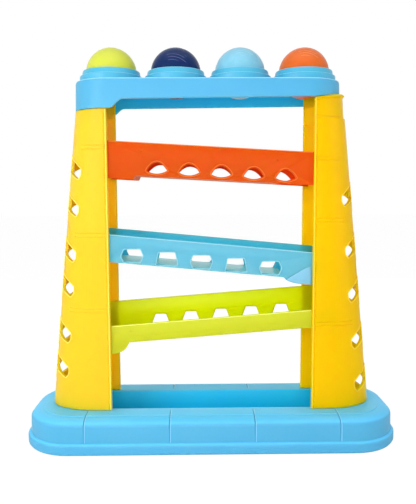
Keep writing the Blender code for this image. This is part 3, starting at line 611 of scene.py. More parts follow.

# Slot, name, the plastic's two tones, the two lighter tones of its edge beads, which paint a highlight on
# them, and what else sets it apart: in it `inside` is painted light in hollows and `floor` a painted lighter
# tone on faces that look up
LOOKS = (
    ("sky_plastic", "sky_blue", ((78, 169, 210), (65, 163, 208)), ((150, 216, 248), (138, 210, 246)), {
        "inside": (0, 198, 250), "floor": (92, 198, 250), "roundness": 0, "roughness": 0.46, "shine": 0.4,
        "glow": 0.3, "glow_colour": (0.3, 0.6, 1)}),
    ("yellow_plastic", "yellow_pillar", ((248, 196, 36), (248, 190, 24)), ((255, 230, 92), (255, 226, 80)), {
        "inside": (255, 196, 6), "axis": (-PILLAR_AXIS, 0, 0), "shine": 0.15}),
    ("amber_plastic", "amber_pillar", ((252, 190, 0), (252, 182, 0)), ((255, 212, 50), (255, 206, 40)), {
        "inside": (255, 204, 0), "axis": (PILLAR_AXIS, 0, 0), "shine": 0.06}),
    ("orange_plastic", "orange_ramp", ((207, 84, 2), (203, 75, 0)), ((236, 112, 36), (234, 104, 30)), {
        "inside": (214, 78, 0), "roundness": 0, "shine": 0.06, "glow_colour": (1, 0.3, 0.1)}),
    ("teal_plastic", "teal_ramp", ((98, 173, 194), (86, 167, 190)), ((146, 208, 226), (136, 202, 222)), {
        "inside": (76, 182, 200), "floor": (140, 222, 248), "roundness": 0, "glow_colour": (0.3, 0.8, 1)}),
    ("lime_plastic", "lime_ramp", ((194, 196, 40), (187, 194, 30)), ((236, 240, 104), (230, 236, 92)), {
        "inside": (216, 222, 0), "roundness": 0, "shine": 0.12, "glow_colour": (0.8, 1, 0.2)}),
    ("collar_plastic", "soft_collar", ((72, 175, 208), (48, 167, 204)), ((150, 216, 244), (136, 210, 242)), {
        "roughness": 0.36, "pebble": 0.35, "shine": 0.5, "glow": 0.2, "glow_colour": (0.3, 0.7, 1)}),
    ("lime_ball", "lime_ball", ((206, 210, 76), (197, 207, 56)), None, {
        "roughness": 0.3, "clouding": 0.5, "shine": 0.18, "glow": 0.25, "glow_colour": (0.8, 1, 0.3)}),
    ("navy_ball", "navy_ball", ((27, 52, 98), (16, 36, 82)), None, {
        "roughness": 0.26, "clouding": 0.6, "shine": 0.07, "glow": 0.05, "glow_colour": (0.1, 0.2, 1),
        "ball_glints": (tuple(ball_centres[1]), (0.50, -0.08, 0.12), (94, 96, 148))}),
    ("sky_ball", "sky_ball", ((130, 194, 218), (114, 189, 214)), None, {
        "roughness": 0.3, "clouding": 0.5, "shine": 0.25, "glow": 0.25, "glow_colour": (0.4, 0.8, 1),
        "ball_glints": (tuple(ball_centres[2]), (0.85, 0.05, 0.1), (166, 224, 242))}),
    ("orange_ball", "orange_ball", ((222, 110, 42), (218, 91, 28)), None, {
        "roughness": 0.3, "clouding": 0.5, "shine": 0.15, "glow": 0.2, "glow_colour": (1, 0.4, 0.2),
        "ball_glints": (tuple(ball_centres[3]), (0.70, -0.08, 0.12), (246, 152, 78))}),
)
PLASTICS = {slot: moulded_plastic(f"{name}_plastic", *tones, **more)
            for slot, name, tones, edge, more in LOOKS}
PLASTICS["screw_steel"] = screw_metal()
# Lighter copies of the plastics for the beads along rims, lips, window edges and panel lines: a painted
# highlight.
PAINTED_EDGE_HIGHLIGHTS = {slot: moulded_plastic(f"{name}_edge", *edge, glow=0)
         for slot, name, tones, edge, more in LOOKS if edge}
# A paler copy of the teal plastic for the chute cheek: a painted highlight on the raised corner.
PAINTED_CHUTE_HIGHLIGHT = {"teal_plastic": moulded_plastic("teal_chute_painted_highlight", (124, 184, 212), (114, 178, 208), glow=0)}


# Geometry Nodes for what repeats

def new_geometry_tree(build, **kinds):
    """A tree that ends in plain geometry with its material. `build` gives its name and what it makes."""
    kinds = {"Geometry": "Geometry", **kinds}
    tree = bpy.data.node_groups.new(build.__name__, "GeometryNodeTree")
    for label, kind in {**kinds, "Material": "Material"}.items():
        tree.interface.new_socket(label, in_out="INPUT", socket_type=f"NodeSocket{kind}")
    tree.interface.new_socket("Geometry", in_out="OUTPUT", socket_type="NodeSocketGeometry")
    given = tree.nodes.new("NodeGroupInput").outputs
    made = build(tree, *[given[label] for label in kinds])
    plain = add_node(tree, "GeometryNodeRealizeInstances", {"Geometry": made})
    paint = add_node(tree, "GeometryNodeSetMaterial", {"Geometry": plain, "Material": given["Material"]})
    add_node(tree, "NodeGroupOutput", {"Geometry": paint})
    return tree


def edge_bead(tree, lines, radius, sides):
    """A rounded bead along lines, as a mould leaves around a window or along a rim."""
    path = add_node(tree, "GeometryNodeMeshToCurve", {"Mesh": lines})
    profile = add_node(tree, "GeometryNodeCurvePrimitiveCircle", {"Radius": radius, "Resolution": sides})
    return add_node(tree, "GeometryNodeCurveToMesh", {
        "Curve": path, "Profile Curve": profile, "Fill Caps": True})


def pattern_row(tree, points, pattern):
    """One copy of a pattern on each point."""
    copy = add_node(tree, "GeometryNodeObjectInfo", {"Object": pattern}).outputs["Geometry"]
    return add_node(tree, "GeometryNodeInstanceOnPoints", {"Points": points, "Instance": copy})


BEAD_TREE = new_geometry_tree(edge_bead, Radius="Float", Sides="Int")
PATTERN_TREE = new_geometry_tree(pattern_row, Pattern="Object")


def grow(name, points, edges, tree, **values):
    """Run a tree on points and lines and keep the plain mesh that it makes."""
    mesh = bpy.data.meshes.new(name)
    mesh.from_pydata([tuple(point) for point in points], edges, [])
    piece = show(name, mesh)
    modifier = piece.modifiers.new(tree.name, "NODES")
    modifier.node_group = tree
    for item in tree.interface.items_tree:
        if item.in_out == "INPUT" and item.name in values:
            modifier[item.identifier] = values[item.name]
    return settle(piece)


def beads(name, lines, radius, slot, closed=True, finishes=PAINTED_EDGE_HIGHLIGHTS):
    """Round beads along closed or open lines, by default in the lighter copy of a plastic that paints a
    highlight on them.
    """
    points = []
    edges = []
    for line in lines:
        first = len(points)
        count = len(line) if closed else len(line) - 1
        edges += [(first + index, first + (index + 1) % len(line)) for index in range(count)]
        points += line
    piece = grow(name, points, edges, BEAD_TREE, Radius=radius, Sides=BEAD_SIDES, Material=finishes[slot])
    finish_piece(piece, slot, finishes=finishes)


def row_of(name, pattern, places, slot, *nodes):
    """Copies of a pattern, which itself is taken away."""
    piece = grow(name, places, [], PATTERN_TREE, Pattern=pattern, Material=PLASTICS[slot])
    bpy.data.objects.remove(pattern, do_unlink=True)
    finish_piece(piece, slot, *nodes)


# Tray

def tray_edge(inset, height):
    return at_height(rounded_plan(tray_high.x - inset, tray_high.y - inset, TRAY_CORNER - inset), height)


def basin_edge(inset, height):
    half_length = right_high.x - BASIN_END_SETBACK - inset
    return at_height(stadium_plan(half_length, BALL_RADIUS + BASIN_SIDE_ROOM - inset), height)


def tray_side():
    """The tray's outer side as inset and height, from its foot to the crease of its rim."""
    crease = RIM_HEIGHT - TRAY_CREASE_STEP
    nose_start = RIM_HEIGHT - TRAY_NOSE_DROP
    nose_run = TRAY_CREASE_INSET - TRAY_NOSE_INSET
    foot = arc((TRAY_SKIRT_ROUND, TRAY_SKIRT_ROUND), TRAY_SKIRT_ROUND, 240, 180, EDGE_STEPS)
    foot = [(inset, height) for inset, height in foot if height > 0 and inset < TRAY_FOOT_INSET]
    step = TRAY_SKIRT_STEP
    shoulder = arc((step, TRAY_SKIRT_HEIGHT - step), step, 180, 90, EDGE_STEPS)
    fillet = [(step + PANEL_GROOVE / 2, TRAY_SKIRT_HEIGHT + PANEL_GROOVE / 3)]
    nose = arc((TRAY_CREASE_INSET, nose_start), (nose_run, crease - nose_start), 180, 90, EDGE_STEPS * 2)
    return [(TRAY_FOOT_INSET, 0)] + foot + shoulder + fillet + nose


def panel_line():
    """The line between two panels, as inset and height."""
    nose = [point for point in tray_side() if point[1] > TRAY_SKIRT_HEIGHT + TRAY_SKIRT_STEP]
    rim_stop = tray_high.y - PILLAR_HALF_DEPTH - PILLAR_FOOT_SPREAD
    line = [(TRAY_SKIRT_STEP, TRAY_SKIRT_HEIGHT + PANEL_GROOVE)] + nose
    return line + [(TRAY_CREASE_INSET + TRAY_CREASE_STEP, RIM_HEIGHT), (rim_stop, RIM_HEIGHT)]


def panel_edges():
    """The raised edge beside each line between panels."""
    aside = PANEL_GROOVE + PANEL_EDGE
    return [[(x + aside, face * (tray_high.y - inset), height) for inset, height in panel_line()]
            for x, face in PANEL_PLACES]


def panel_grooves():
    """V-shaped lines over the tray's sides, between its panels."""
    tools = []
    for x, face in PANEL_PLACES:
        rings = []
        for inset, height in panel_line():
            y = face * (tray_high.y - inset)
            out = y + face * PANEL_GROOVE
            high = height + PANEL_GROOVE
            rings.append([(x, y - face * PANEL_GROOVE, height - PANEL_GROOVE), (x + PANEL_GROOVE, out, high),
                          (x - PANEL_GROOVE, out, high)])
        tools.append(rings)
    return tools


def build_tray():
    underside = RIM_HEIGHT - WALL
    rings = [
        basin_edge(BASIN_FLOOR_RADIUS - WALL, BASIN_FLOOR - WALL),
        basin_edge(BASIN_DRAFT - WALL, BASIN_FLOOR_RADIUS + BASIN_FLOOR),
        basin_edge(-WALL, underside),
        tray_edge(TRAY_CREASE_INSET, underside),
        tray_edge(TRAY_NOSE_INSET + WALL, underside - TRAY_NOSE_DROP),
        tray_edge(TRAY_FOOT_INSET + TRAY_FOOT_LAND, 0),
    ]
    rings += [tray_edge(inset, height) for inset, height in tray_side()]
    rings.append(tray_edge(TRAY_CREASE_INSET + TRAY_CREASE_STEP, RIM_HEIGHT))
    for run, rise in arc((BASIN_EDGE, -BASIN_EDGE), BASIN_EDGE, 90, 180, EDGE_STEPS // 2):
        rings.append(basin_edge(-run, RIM_HEIGHT + rise))
    for run, rise in arc((0, BASIN_FLOOR_RADIUS), BASIN_FLOOR_RADIUS, 0, -90, EDGE_STEPS):
        rings.append(basin_edge(BASIN_DRAFT + BASIN_FLOOR_RADIUS - run, BASIN_FLOOR + rise))
    tray = loft("tray", rings)
    carve(tray, *panel_grooves())
    places = boss_places(-1) + boss_places(1)
    carve(tray, *posts(places, *SCREW_BORE, underside - OVERRUN, RIM_HEIGHT + OVERRUN))
    finish_piece(tray, "sky_plastic", "base_tray")
    beads("panel_edges", panel_edges(), PANEL_EDGE, "sky_plastic", closed=False)


# Pillars

def pillar_section(height, inset=0):
    """Where the flat side ends, and the reach and half depth of the rounded side beyond it."""
    share = (height - PILLAR_FOOT) / (PILLAR_TOP - PILLAR_FOOT)
    flat = PILLAR_FOOT_FLAT * (1 - share)
    reach = PILLAR_FOOT_ROUND + (PILLAR_TOP_REACH - PILLAR_FOOT_ROUND) * share - inset
    half_depth = PILLAR_HALF_DEPTH + PILLAR_FOOT_SPREAD * (1 - share) - inset
    return PILLAR_INNER + flat, reach, half_depth


def thinner(section):
    centre, reach, half_depth = section
    return centre, reach - WALL, half_depth - WALL


def pillar_path(section):
    """Plan points around one face of a pillar, from its back edge to its front edge."""
    centre, reach, half_depth = section
    inner = PILLAR_INNER + WALL / 2
    if centre > inner:
        plan = arc((centre, 0), (reach, half_depth), 90, -90, ARC_STEPS)
        return [(inner, half_depth)] + plan + [(inner, -half_depth)]
    start = degrees(acos((inner - centre) / reach))
    return arc((centre, 0), (reach, half_depth), start, -start, ARC_STEPS + 2)


def edge_round(outer_point, inner_point):
    """A half-round free edge between the ends of the outer and the inner path."""
    outer = Vector(outer_point)
    middle = (outer + Vector(inner_point)) / 2
    spoke = outer - middle
    bulge = Vector((-WALL / 2, 0, 0))
    turns = [pi * step / EDGE_STEPS for step in range(1, EDGE_STEPS)]
    return [middle + spoke * cos(turn) + bulge * sin(turn) for turn in turns]


def pillar_ring(outer, outer_height, inner, inner_height, side):
    outer_line = at_height(pillar_path(outer), outer_height)
    inner_line = at_height(pillar_path(inner)[::-1], inner_height)
    ring = outer_line + edge_round(outer_line[-1], inner_line[0])
    ring += inner_line + edge_round(inner_line[-1], outer_line[0])
    shoulder = pillar_shoulder(side)
    lifted = side > 0 and shoulder - NECK_LIP_HEIGHT - WALL * 2 < inner_height <= outer_height <= shoulder
    return [(side * x, y, z + (end_lift(x) if lifted else 0)) for x, y, z in ring]


def pillar_shoulder(side):
    return (PILLAR_TOP + DECK_END_RISE if side > 0 else deck_low.z) - FIT_GAP


def pillar_levels(side):
    """The outer and inner sections of a pillar with their heights, from its foot to its tongue."""
    shoulder = pillar_shoulder(side)
    foot = pillar_section(PILLAR_FOOT)
    levels = [(foot, PILLAR_FOOT, thinner(foot), PILLAR_FOOT)]
    rows = [(shoulder, 0, 0)]
    if side > 0:
        step = shoulder - NECK_HEIGHT
        inner_inset = NECK_INSET / 2
        rows = [(step, 0, 0), (step + NECK_STEP, NECK_INSET, inner_inset),
                (shoulder - NECK_LIP_HEIGHT, NECK_INSET, inner_inset),
                (shoulder - NECK_STEP, -NECK_LIP_FLARE, inner_inset), (shoulder, 0, inner_inset)]
    for height, inset, inner_inset in rows:
        inner = thinner(pillar_section(height - WALL, inner_inset))
        levels.append((pillar_section(height, inset), height, inner, height - WALL))
    end_ball = ball_centres[-1] if side > 0 else ball_centres[0]
    tongue = (abs(end_ball.x), TONGUE_RADIUS, TONGUE_RADIUS)
    top = right_high.z
    levels += [(tongue, shoulder, thinner(tongue), shoulder - WALL), (tongue, top, thinner(tongue), top)]
    return levels


def on_section(section, angle, lift):
    """A place on or off a section's rounded side. Angle 0 is the outer middle, -90 the front flat's end."""
    centre, reach, half_depth = section
    turn = radians(angle)
    outward = Vector((cos(turn) / reach, sin(turn) / half_depth)).normalized()
    return Vector((centre + reach * cos(turn), half_depth * sin(turn))) + outward * lift


def slot_loops(side, lift, growth=0):
    """The outlines of a pillar's slots, wrapped on its rounded side."""
    loops = []
    for share in SLOT_HEIGHT_SHARES[side]:
        height = PILLAR_FOOT + share * (PILLAR_TOP - PILLAR_FOOT)
        reach, half_depth = pillar_section(height)[1:]
        for angle, corners in SLOTS:
            turn = radians(angle)
            bend = sqrt((reach * sin(turn)) ** 2 + (half_depth * cos(turn)) ** 2)
            loop = []
            for run, rise in grown(spaced(rounded_outline(corners, SLOT_ROUND, EDGE_STEPS)), growth):
                spot = on_section(pillar_section(height + rise), angle - degrees(run / bend), lift)
                loop.append((side * spot.x, spot.y, height + rise))
            loops.append(loop)
    return loops


def line_tools(side):
    """Cutters for the pairs of fine lines across a pillar's front and back."""
    tools = []
    for middle in LINE_HEIGHTS[side]:
        for height in (middle - LINE_SPACING / 2, middle + LINE_SPACING / 2):
            centre, reach, half_depth = pillar_section(height)
            stop = degrees(acos((reach - LINE_END_MARGIN) / reach))
            deep, wide = [[(PILLAR_INNER + EDGE_BAND, half_depth + depth)]
                          + arc((centre, 0), (reach + depth, half_depth + depth), 90, stop, EDGE_STEPS * 3)
                          for depth in (-LINE_DEPTH, LINE_DEPTH)]
            for face in (-1, 1):
                tools.append([[(side * x, face * y, height + rise) for (x, y), rise in (
                    (low, -LINE_WIDTH / 3), (low, LINE_WIDTH / 3), (high, LINE_WIDTH), (high, -LINE_WIDTH))]
                    for low, high in zip(deep, wide)])
    return tools


def band_tools(side):
    """Cutters for the upright line that sets off the band along a pillar's front and back edges."""
    top = pillar_shoulder(side) - (NECK_HEIGHT + LINE_SPACING if side > 0 else LINE_SPACING)
    x = PILLAR_INNER + EDGE_BAND
    tools = []
    for face in (-1, 1):
        rings = []
        for height in (PILLAR_FOOT - OVERRUN, PILLAR_TOP / 2, top):
            centre, reach, half_depth = pillar_section(height)
            if x > centre:
                half_depth *= sqrt(1 - ((x - centre) / reach) ** 2)
            rings.append([(side * (x + aside), face * (half_depth + depth), height) for aside, depth in (
                (0, -LINE_DEPTH), (-LINE_WIDTH, LINE_DEPTH), (LINE_WIDTH, LINE_DEPTH))])
        tools.append(rings)
    return tools


def boss_places(side):
    """Centres of a pillar's bosses, each set against the inside of the rounded foot."""
    foot = thinner(pillar_section(PILLAR_FOOT))
    centres = [on_section(foot, angle, BOSS_SINK - BOSS_RADIUS) for angle in BOSS_ANGLES]
    return [(side * centre.x, centre.y) for centre in centres]


def pillar_fittings(side):
    """The bosses in a pillar's foot and the ledges under the ramps' ends."""
    bottom, top = PILLAR_FOOT + FIT_GAP, PILLAR_FOOT + BOSS_HEIGHT
    tools = posts(boss_places(side), BOSS_RADIUS, ARC_STEPS, bottom, top)
    wall = PILLAR_HALF_DEPTH - WALL
    ends = (side * (PILLAR_INNER + WALL / 2), side * RAMP_END)
    for name in RAMPS:
        tops = [(x, ramp_bottom(name, x) - FIT_GAP) for x in ends]
        outline = tops + [(x, z - LEDGE_HEIGHT) for x, z in tops[::-1]]
        tools += [across(outline, face * (wall - LEDGE_WIDTH), face * (wall + WALL / 2)) for face in (-1, 1)]
    return tools


def edge_lines(side):
    """Lines up the free edges of a pillar, for the bright lips along them."""
    heights = (PILLAR_FOOT + EDGE_LIP, PILLAR_TOP / 2, pillar_shoulder(side) - NECK_STEP)
    return [[(side * (PILLAR_INNER + WALL / 2), face * (pillar_section(height)[2] - EDGE_LIP / 3), height)
             for height in heights] for face in (-1, 1)]


def build_pillar(side, slot):
    name = "left" if side < 0 else "right"
    pillar = loft(f"{name}_pillar_shell", [pillar_ring(*level, side) for level in pillar_levels(side)])
    carve(pillar, *pillar_fittings(side), operation="UNION")
    carve(pillar, *zip(slot_loops(side, -WALL - OVERRUN / 2), slot_loops(side, OVERRUN / 2)))
    carve(pillar, *line_tools(side))
    carve(pillar, *band_tools(side))
    end = PILLAR_FOOT + SCREW_LENGTH - WALL / 2
    carve(pillar, *posts(boss_places(side), *SCREW_BORE, PILLAR_FOOT - OVERRUN, end))
    finish_piece(pillar, slot, f"{name}_pillar")
    beads(f"{name}_slot_rims", slot_loops(side, 0, growth=SLOT_BEAD), SLOT_BEAD, slot)
    beads(f"{name}_edge_lips", edge_lines(side), EDGE_LIP, slot, closed=False)


# Deck and collars

def deck_edge(inset, height):
    radius = DECK_RADIUS - inset
    return at_height(stadium_plan(ROW_HALF + radius, radius, shift=ROW_SHIFT), height)


def end_lift(x):
    """How far the skirt and the right shoulder rise towards their outer end."""
    return DECK_END_LIFT * clamped((x - PILLAR_INNER) / (deck_high.x - PILLAR_INNER))


def skirt_level(x, shift=0):
    """Height of the skirt's lower edge: low at the left end, with a curve that leads up from it."""
    start = ball_centres[0].x + DECK_CAP_START - shift
    share = clamped((x - start) / DECK_CAP_CURVE)
    slope = DECK_END_RISE * clamped((x - start) / (PILLAR_INNER - start))
    return deck_low.z + (PILLAR_TOP - deck_low.z) * (1 - cos(pi * share)) / 2 + slope + end_lift(x)


def build_deck():
    bottom = deck_low.z
    underside = DECK_TOP - WALL
    corner = arc((DECK_DRAFT + DECK_EDGE, DECK_TOP - DECK_EDGE), DECK_EDGE, 180, 90, EDGE_STEPS)
    side = [(WALL + DECK_DRAFT, underside), (WALL, bottom), (0, bottom),
            (DECK_DRAFT / 2, (bottom + DECK_TOP) / 2)] + corner
    deck = loft("deck_shell", [deck_edge(inset, height) for inset, height in side])
    steps = EDGE_STEPS * 3
    far = deck_high.x + OVERRUN
    reach = DECK_RADIUS + OVERRUN
    for shift, back, front in ((0, 0, -reach), (DECK_BACK_SHIFT, reach, 0)):
        start = ball_centres[0].x + DECK_CAP_START - shift
        places = [start + DECK_CAP_CURVE * step / steps for step in range(steps + 1)]
        places += [PILLAR_INNER, deck_high.x, far]
        outline = [(start, bottom - OVERRUN)] + [(x, skirt_level(x, shift)) for x in places]
        carve(deck, across(outline + [(far, bottom - OVERRUN)], back, front))
    places = [(centre.x, 0) for centre in ball_centres]
    carve(deck, *posts(places, COLLAR_LIP + FIT_GAP, TURN_STEPS, underside - OVERRUN, DECK_TOP + OVERRUN))
    finish_piece(deck, "sky_plastic", "top_deck")
    plan = spaced([(x, y) for x, y, height in deck_edge(DECK_LIP, 0)])
    lip = [(x, y, skirt_level(x, DECK_BACK_SHIFT if y > 0 else 0) + DECK_LIP) for x, y in plan]
    beads("deck_skirt_lip", [lip], DECK_LIP, "sky_plastic", finishes=PLASTICS)
    edge = deck_edge(DECK_DRAFT + DECK_EDGE / 3, DECK_TOP - DECK_EDGE / 3)
    beads("deck_top_edge", [edge], DECK_LIP, "sky_plastic")


def collar_profile():
    """The soft collar: a broad lower ring, a step, a drawn-in upper ring and a rounded lip."""
    under = -WALL - FIT_GAP
    lip = COLLAR_ROUND
    upper = COLLAR_LIP + COLLAR_FLANGE * COLLAR_UPPER_SHARE
    few = EDGE_STEPS // 2
    profile = [(COLLAR_BORE, -COLLAR_SLEEVE), (COLLAR_LIP, -COLLAR_SLEEVE), (COLLAR_LIP, under - lip * 4),
               (COLLAR_LIP + lip, under - lip * 2), (COLLAR_LIP + lip, under), (COLLAR_LIP, under),
               (COLLAR_LIP, FIT_GAP), (COLLAR_OUTER, FIT_GAP)]
    profile += arc((COLLAR_OUTER - lip, COLLAR_STEP_HEIGHT - lip), lip, 0, 70, few)
    profile += arc((upper + lip, COLLAR_STEP_HEIGHT + lip), lip, 260, 190, few)
    profile += arc((COLLAR_LIP + lip / 2, COLLAR_HEIGHT - lip), lip, 20, 90, EDGE_STEPS)
    return profile + arc((COLLAR_BORE + lip / 2, COLLAR_HEIGHT - lip / 2), lip / 2, 100, 180, few)


def build_collars():
    turns = [2 * pi * step / TURN_STEPS for step in range(TURN_STEPS)]
    for number, centre in enumerate(ball_centres, start=1):
        rings = [[(centre.x + radius * cos(turn), radius * sin(turn), DECK_TOP + height)
                  for radius, height in collar_profile()] for turn in turns]
        collar = loft(f"soft_collar_{number}", rings, closed=True)
        finish_piece(collar, "collar_plastic", f"grip_collar_{number}")
    lip = COLLAR_ROUND
    levels = ((COLLAR_LIP + lip / 2, COLLAR_HEIGHT - lip / 4),
              (COLLAR_OUTER - lip, COLLAR_STEP_HEIGHT - lip / 4))
    rings = [at_height(disc((centre.x, 0), radius, TURN_STEPS), DECK_TOP + height)
             for centre in ball_centres for radius, height in levels]
    beads("collar_edges", rings, lip / 2, "collar_plastic")


# Balls

BALL_LONG_STEPS = 180
BALL_CROSS_STEPS = 90
SWIRL_COUNT = 3
SWIRL_DEPTH = 0.00015
SWIRL_WIDTH = 0.05
SWIRL_SWAY = 0.55
SWIRL_TURNS = 2.2
SWIRL_FADE = 2.5
BALL_TURNS = ((1.2, 0.3, 0.2), (1.05, 0.35, 0.5), (1.35, 0.2, 1.1), (1.0, -0.25, 0.75))


def swirl_dip(direction):
    """How deep the shallow swirling grooves are at one direction from the ball's centre."""
    rise = max(-1, min(1, direction.z))
    sway = SWIRL_SWAY * sin(SWIRL_TURNS * rise * pi / 2)
    width = sqrt(max(1 - rise * rise, 0))
    phase = (atan2(direction.y, direction.x) + sway) * SWIRL_COUNT / (2 * pi)
    off = abs(phase - round(phase)) * 2 * pi / SWIRL_COUNT * width
    return SWIRL_DEPTH * min(1, width * SWIRL_FADE) * exp(-(off / SWIRL_WIDTH) ** 2)


def build_balls():
    for (node, body, slot), centre, turns in zip(BALLS, ball_centres, BALL_TURNS):
        mesh = bpy.data.meshes.new(f"{node}_shell")
        shell = bmesh.new()
        bmesh.ops.create_uvsphere(shell, u_segments=BALL_LONG_STEPS, v_segments=BALL_CROSS_STEPS, radius=1)
        turn = Euler(turns).to_matrix()
        for corner in shell.verts:
            direction = corner.co.normalized()
            corner.co = centre + turn @ direction * (BALL_RADIUS - swirl_dip(direction))
        shell.to_mesh(mesh)
        shell.free()
        finish_piece(show(f"{node}_shell", mesh), slot, node, body=body)


# Ramps

def ramp_ends(name):
    low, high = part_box(name)
    return low[0], high[0]


def ramp_level(name, x, rise=0):
    """The height of a ramp's front top edge, or so much above it."""
    ramp = RAMPS[name]
    return ramp["top"] + rise + x * tan(radians(ramp["angle"]))


def ramp_line(name, places, rise=0):
    return [(x, ramp_level(name, x, rise)) for x in places]


def ramp_bottom_line(name):
    left, right = ramp_ends(name)
    depth = RAMPS[name]["depth"]
    steps = EDGE_STEPS * 2
    if name == "upper_ramp":
        lip_end = UPPER_LIP_RUN - PILLAR_INNER
        lowered = ramp_line(name, (left, lip_end), -depth - UPPER_LIP)
        return lowered + ramp_line(name, (lip_end + UPPER_LIP / 2, right), -depth)
    if name == "middle_ramp":
        level = ramp_level(name, PILLAR_INNER - MIDDLE_CHUTE_RUN, -depth)
        curve = arc((PILLAR_INNER, level), (MIDDLE_CHUTE_RUN, MIDDLE_CHUTE_DROP), 180, 270, steps)
        return ramp_line(name, [left], -depth) + curve + [(right, level - MIDDLE_CHUTE_DROP)]
    level = ramp_level(name, LOWER_SCOOP_RUN - PILLAR_INNER, -depth)
    curve = arc((-PILLAR_INNER, level), (LOWER_SCOOP_RUN, LOWER_SCOOP_DROP), 270, 360, steps)
    return [(left, level - LOWER_SCOOP_DROP)] + curve + ramp_line(name, [right], -depth)


def ramp_bottom(name, x):
    line = ramp_bottom_line(name)
    for (x_before, z_before), (x_after, z_after) in zip(line, line[1:]):
        if x_before <= x <= x_after:
            return z_before + (z_after - z_before) * (x - x_before) / (x_after - x_before)
    raise ValueError("place beyond the ramp")


def window_corners(name, number, half):
    """One window's outline about the middle of its foot or top."""
    if name == "upper_ramp":
        steps = EDGE_STEPS * 4
        shares = [1 - 2 * step / steps for step in range(steps + 1)]
        arch = [(half * share, UPPER_WINDOW_ARCH * (1 - share * share)) for share in shares]
        sill = [(half * share, UPPER_WINDOW_SAG * (share * share - 1)) for share in shares[::-1]]
        return arch + sill[1:-1]
    if name == "lower_ramp":
        top = half * LOWER_WINDOW_TOP_SHARE
        corners = [(-half, -LOWER_WINDOW_HEIGHT), (half, -LOWER_WINDOW_HEIGHT), (top, 0), (-top, 0)]
    else:
        top = half * MIDDLE_WINDOW_TOP_SHARE
        height = MIDDLE_WINDOW_HEIGHT
        foot = [(-half, 0), (half, 0)] if number % 2 else [(-top, 0), (top, 0), (half, height / 2)]
        corners = foot + [(top, height), (-top, height)] + ([] if number % 2 else [(-half, height / 2)])
    return rounded_outline(corners, WINDOW_ROUND, EDGE_STEPS // 2)


def window_lines(name, face):
    """The outlines of one wall's windows, in X and Z."""
    ramp = RAMPS[name]
    lines = []
    for number in range(WINDOW_COUNT):
        x = ramp["first_window"] + number * ramp["window_pitch"]
        level = ramp_level(name, x, ramp["window_level"])
        corners = window_corners(name, number, ramp["window_halves"][face])
        lines.append([(x + along, level + up) for along, up in corners])
    return lines


def floor_openings(name):
    left, right = ramp_ends(name)
    if name == "upper_ramp":
        drop = (PILLAR_INNER - UPPER_FLOOR_STOP, right + OVERRUN)
        return [(left - OVERRUN, UPPER_LIP_RUN - PILLAR_INNER), drop]
    if name == "middle_ramp":
        return [(PILLAR_INNER - MIDDLE_FLOOR_STOP, right + OVERRUN)]
    return [(left - OVERRUN, LOWER_FLOOR_STOP - PILLAR_INNER)]


def ramp_plan(name):
    left, right = ramp_ends(name)
    radii = {left: LOW_END_RADIUS, right: LOW_END_RADIUS}
    if name in HIGH_END_RADII:
        radii[left if RAMPS[name]["angle"] < 0 else right] = HIGH_END_RADII[name]
    points = []
    for quarter, (side, face) in enumerate(QUARTERS):
        x = right if side > 0 else left
        centre = (x - side * radii[x], face * (RAMP_OUTER - radii[x]))
        points += arc(centre, radii[x], 90 * quarter, 90 * quarter + 90, EDGE_STEPS * 2)
    return points


def build_ramp(name):
    ramp = RAMPS[name]
    left, right = ramp_ends(name)
    line = ramp_bottom_line(name)
    back_rise = ramp["back_rise"]
    outline = line + ramp_line(name, (right, left), back_rise)
    body = loft(f"{name}_shell", across(outline, RAMP_OUTER, -RAMP_OUTER))
    over = ramp["top"] + right - left
    under = ramp["top"] - right + left
    carve(body, upright(ramp_plan(name), under, over), operation="INTERSECT")
    start = left - OVERRUN
    stop = right + OVERRUN
    inner = [(x, z + RAMP_FLOOR) for x, z in line]
    channel = [(start, inner[0][1])] + inner + [(stop, inner[-1][1]), (stop, over), (start, over)]
    carve(body, across(channel, RAMP_INNER, -RAMP_INNER))
    carve(body, *[upright(oblong(*ends, RAMP_INNER), under, over) for ends in floor_openings(name)])
    if back_rise:
        trim = ramp_line(name, (start, stop)) + ramp_line(name, (stop, start), back_rise + OVERRUN)
        carve(body, across(trim, RAMP_INNER, -RAMP_OUTER - OVERRUN))
    outlines = [(face, outline) for face in ramp["pierced"] for outline in window_lines(name, face)]
    carve(body, *[across(outline, face * (RAMP_OUTER + OVERRUN), face * (RAMP_INNER - WINDOW_NOTCH))
                  for face, outline in outlines])
    rims = [[(x, face * RAMP_OUTER, z) for x, z in grown(spaced(outline), ramp["rim_offset"])]
            for face, outline in outlines]
    work(body, "BEVEL", width=RAMP_EDGE, segments=2, limit_method="ANGLE", angle_limit=SHARP_ANGLE)
    finish_piece(body, ramp["slot"], name)
    beads(f"{name}_window_rims", rims, ramp["rim"], ramp["slot"])
    span = (RAMP_LIP - PILLAR_INNER, PILLAR_INNER - RAMP_LIP)
    lips = [[(x, face * (RAMP_OUTER - RAMP_LIP / 2), z) for x, z in ramp_line(name, span, rise - RAMP_LIP)]
            for face, rise in ((-1, 0), (1, back_rise))]
    beads(f"{name}_edge_lips", lips, RAMP_LIP, ramp["slot"], closed=False)


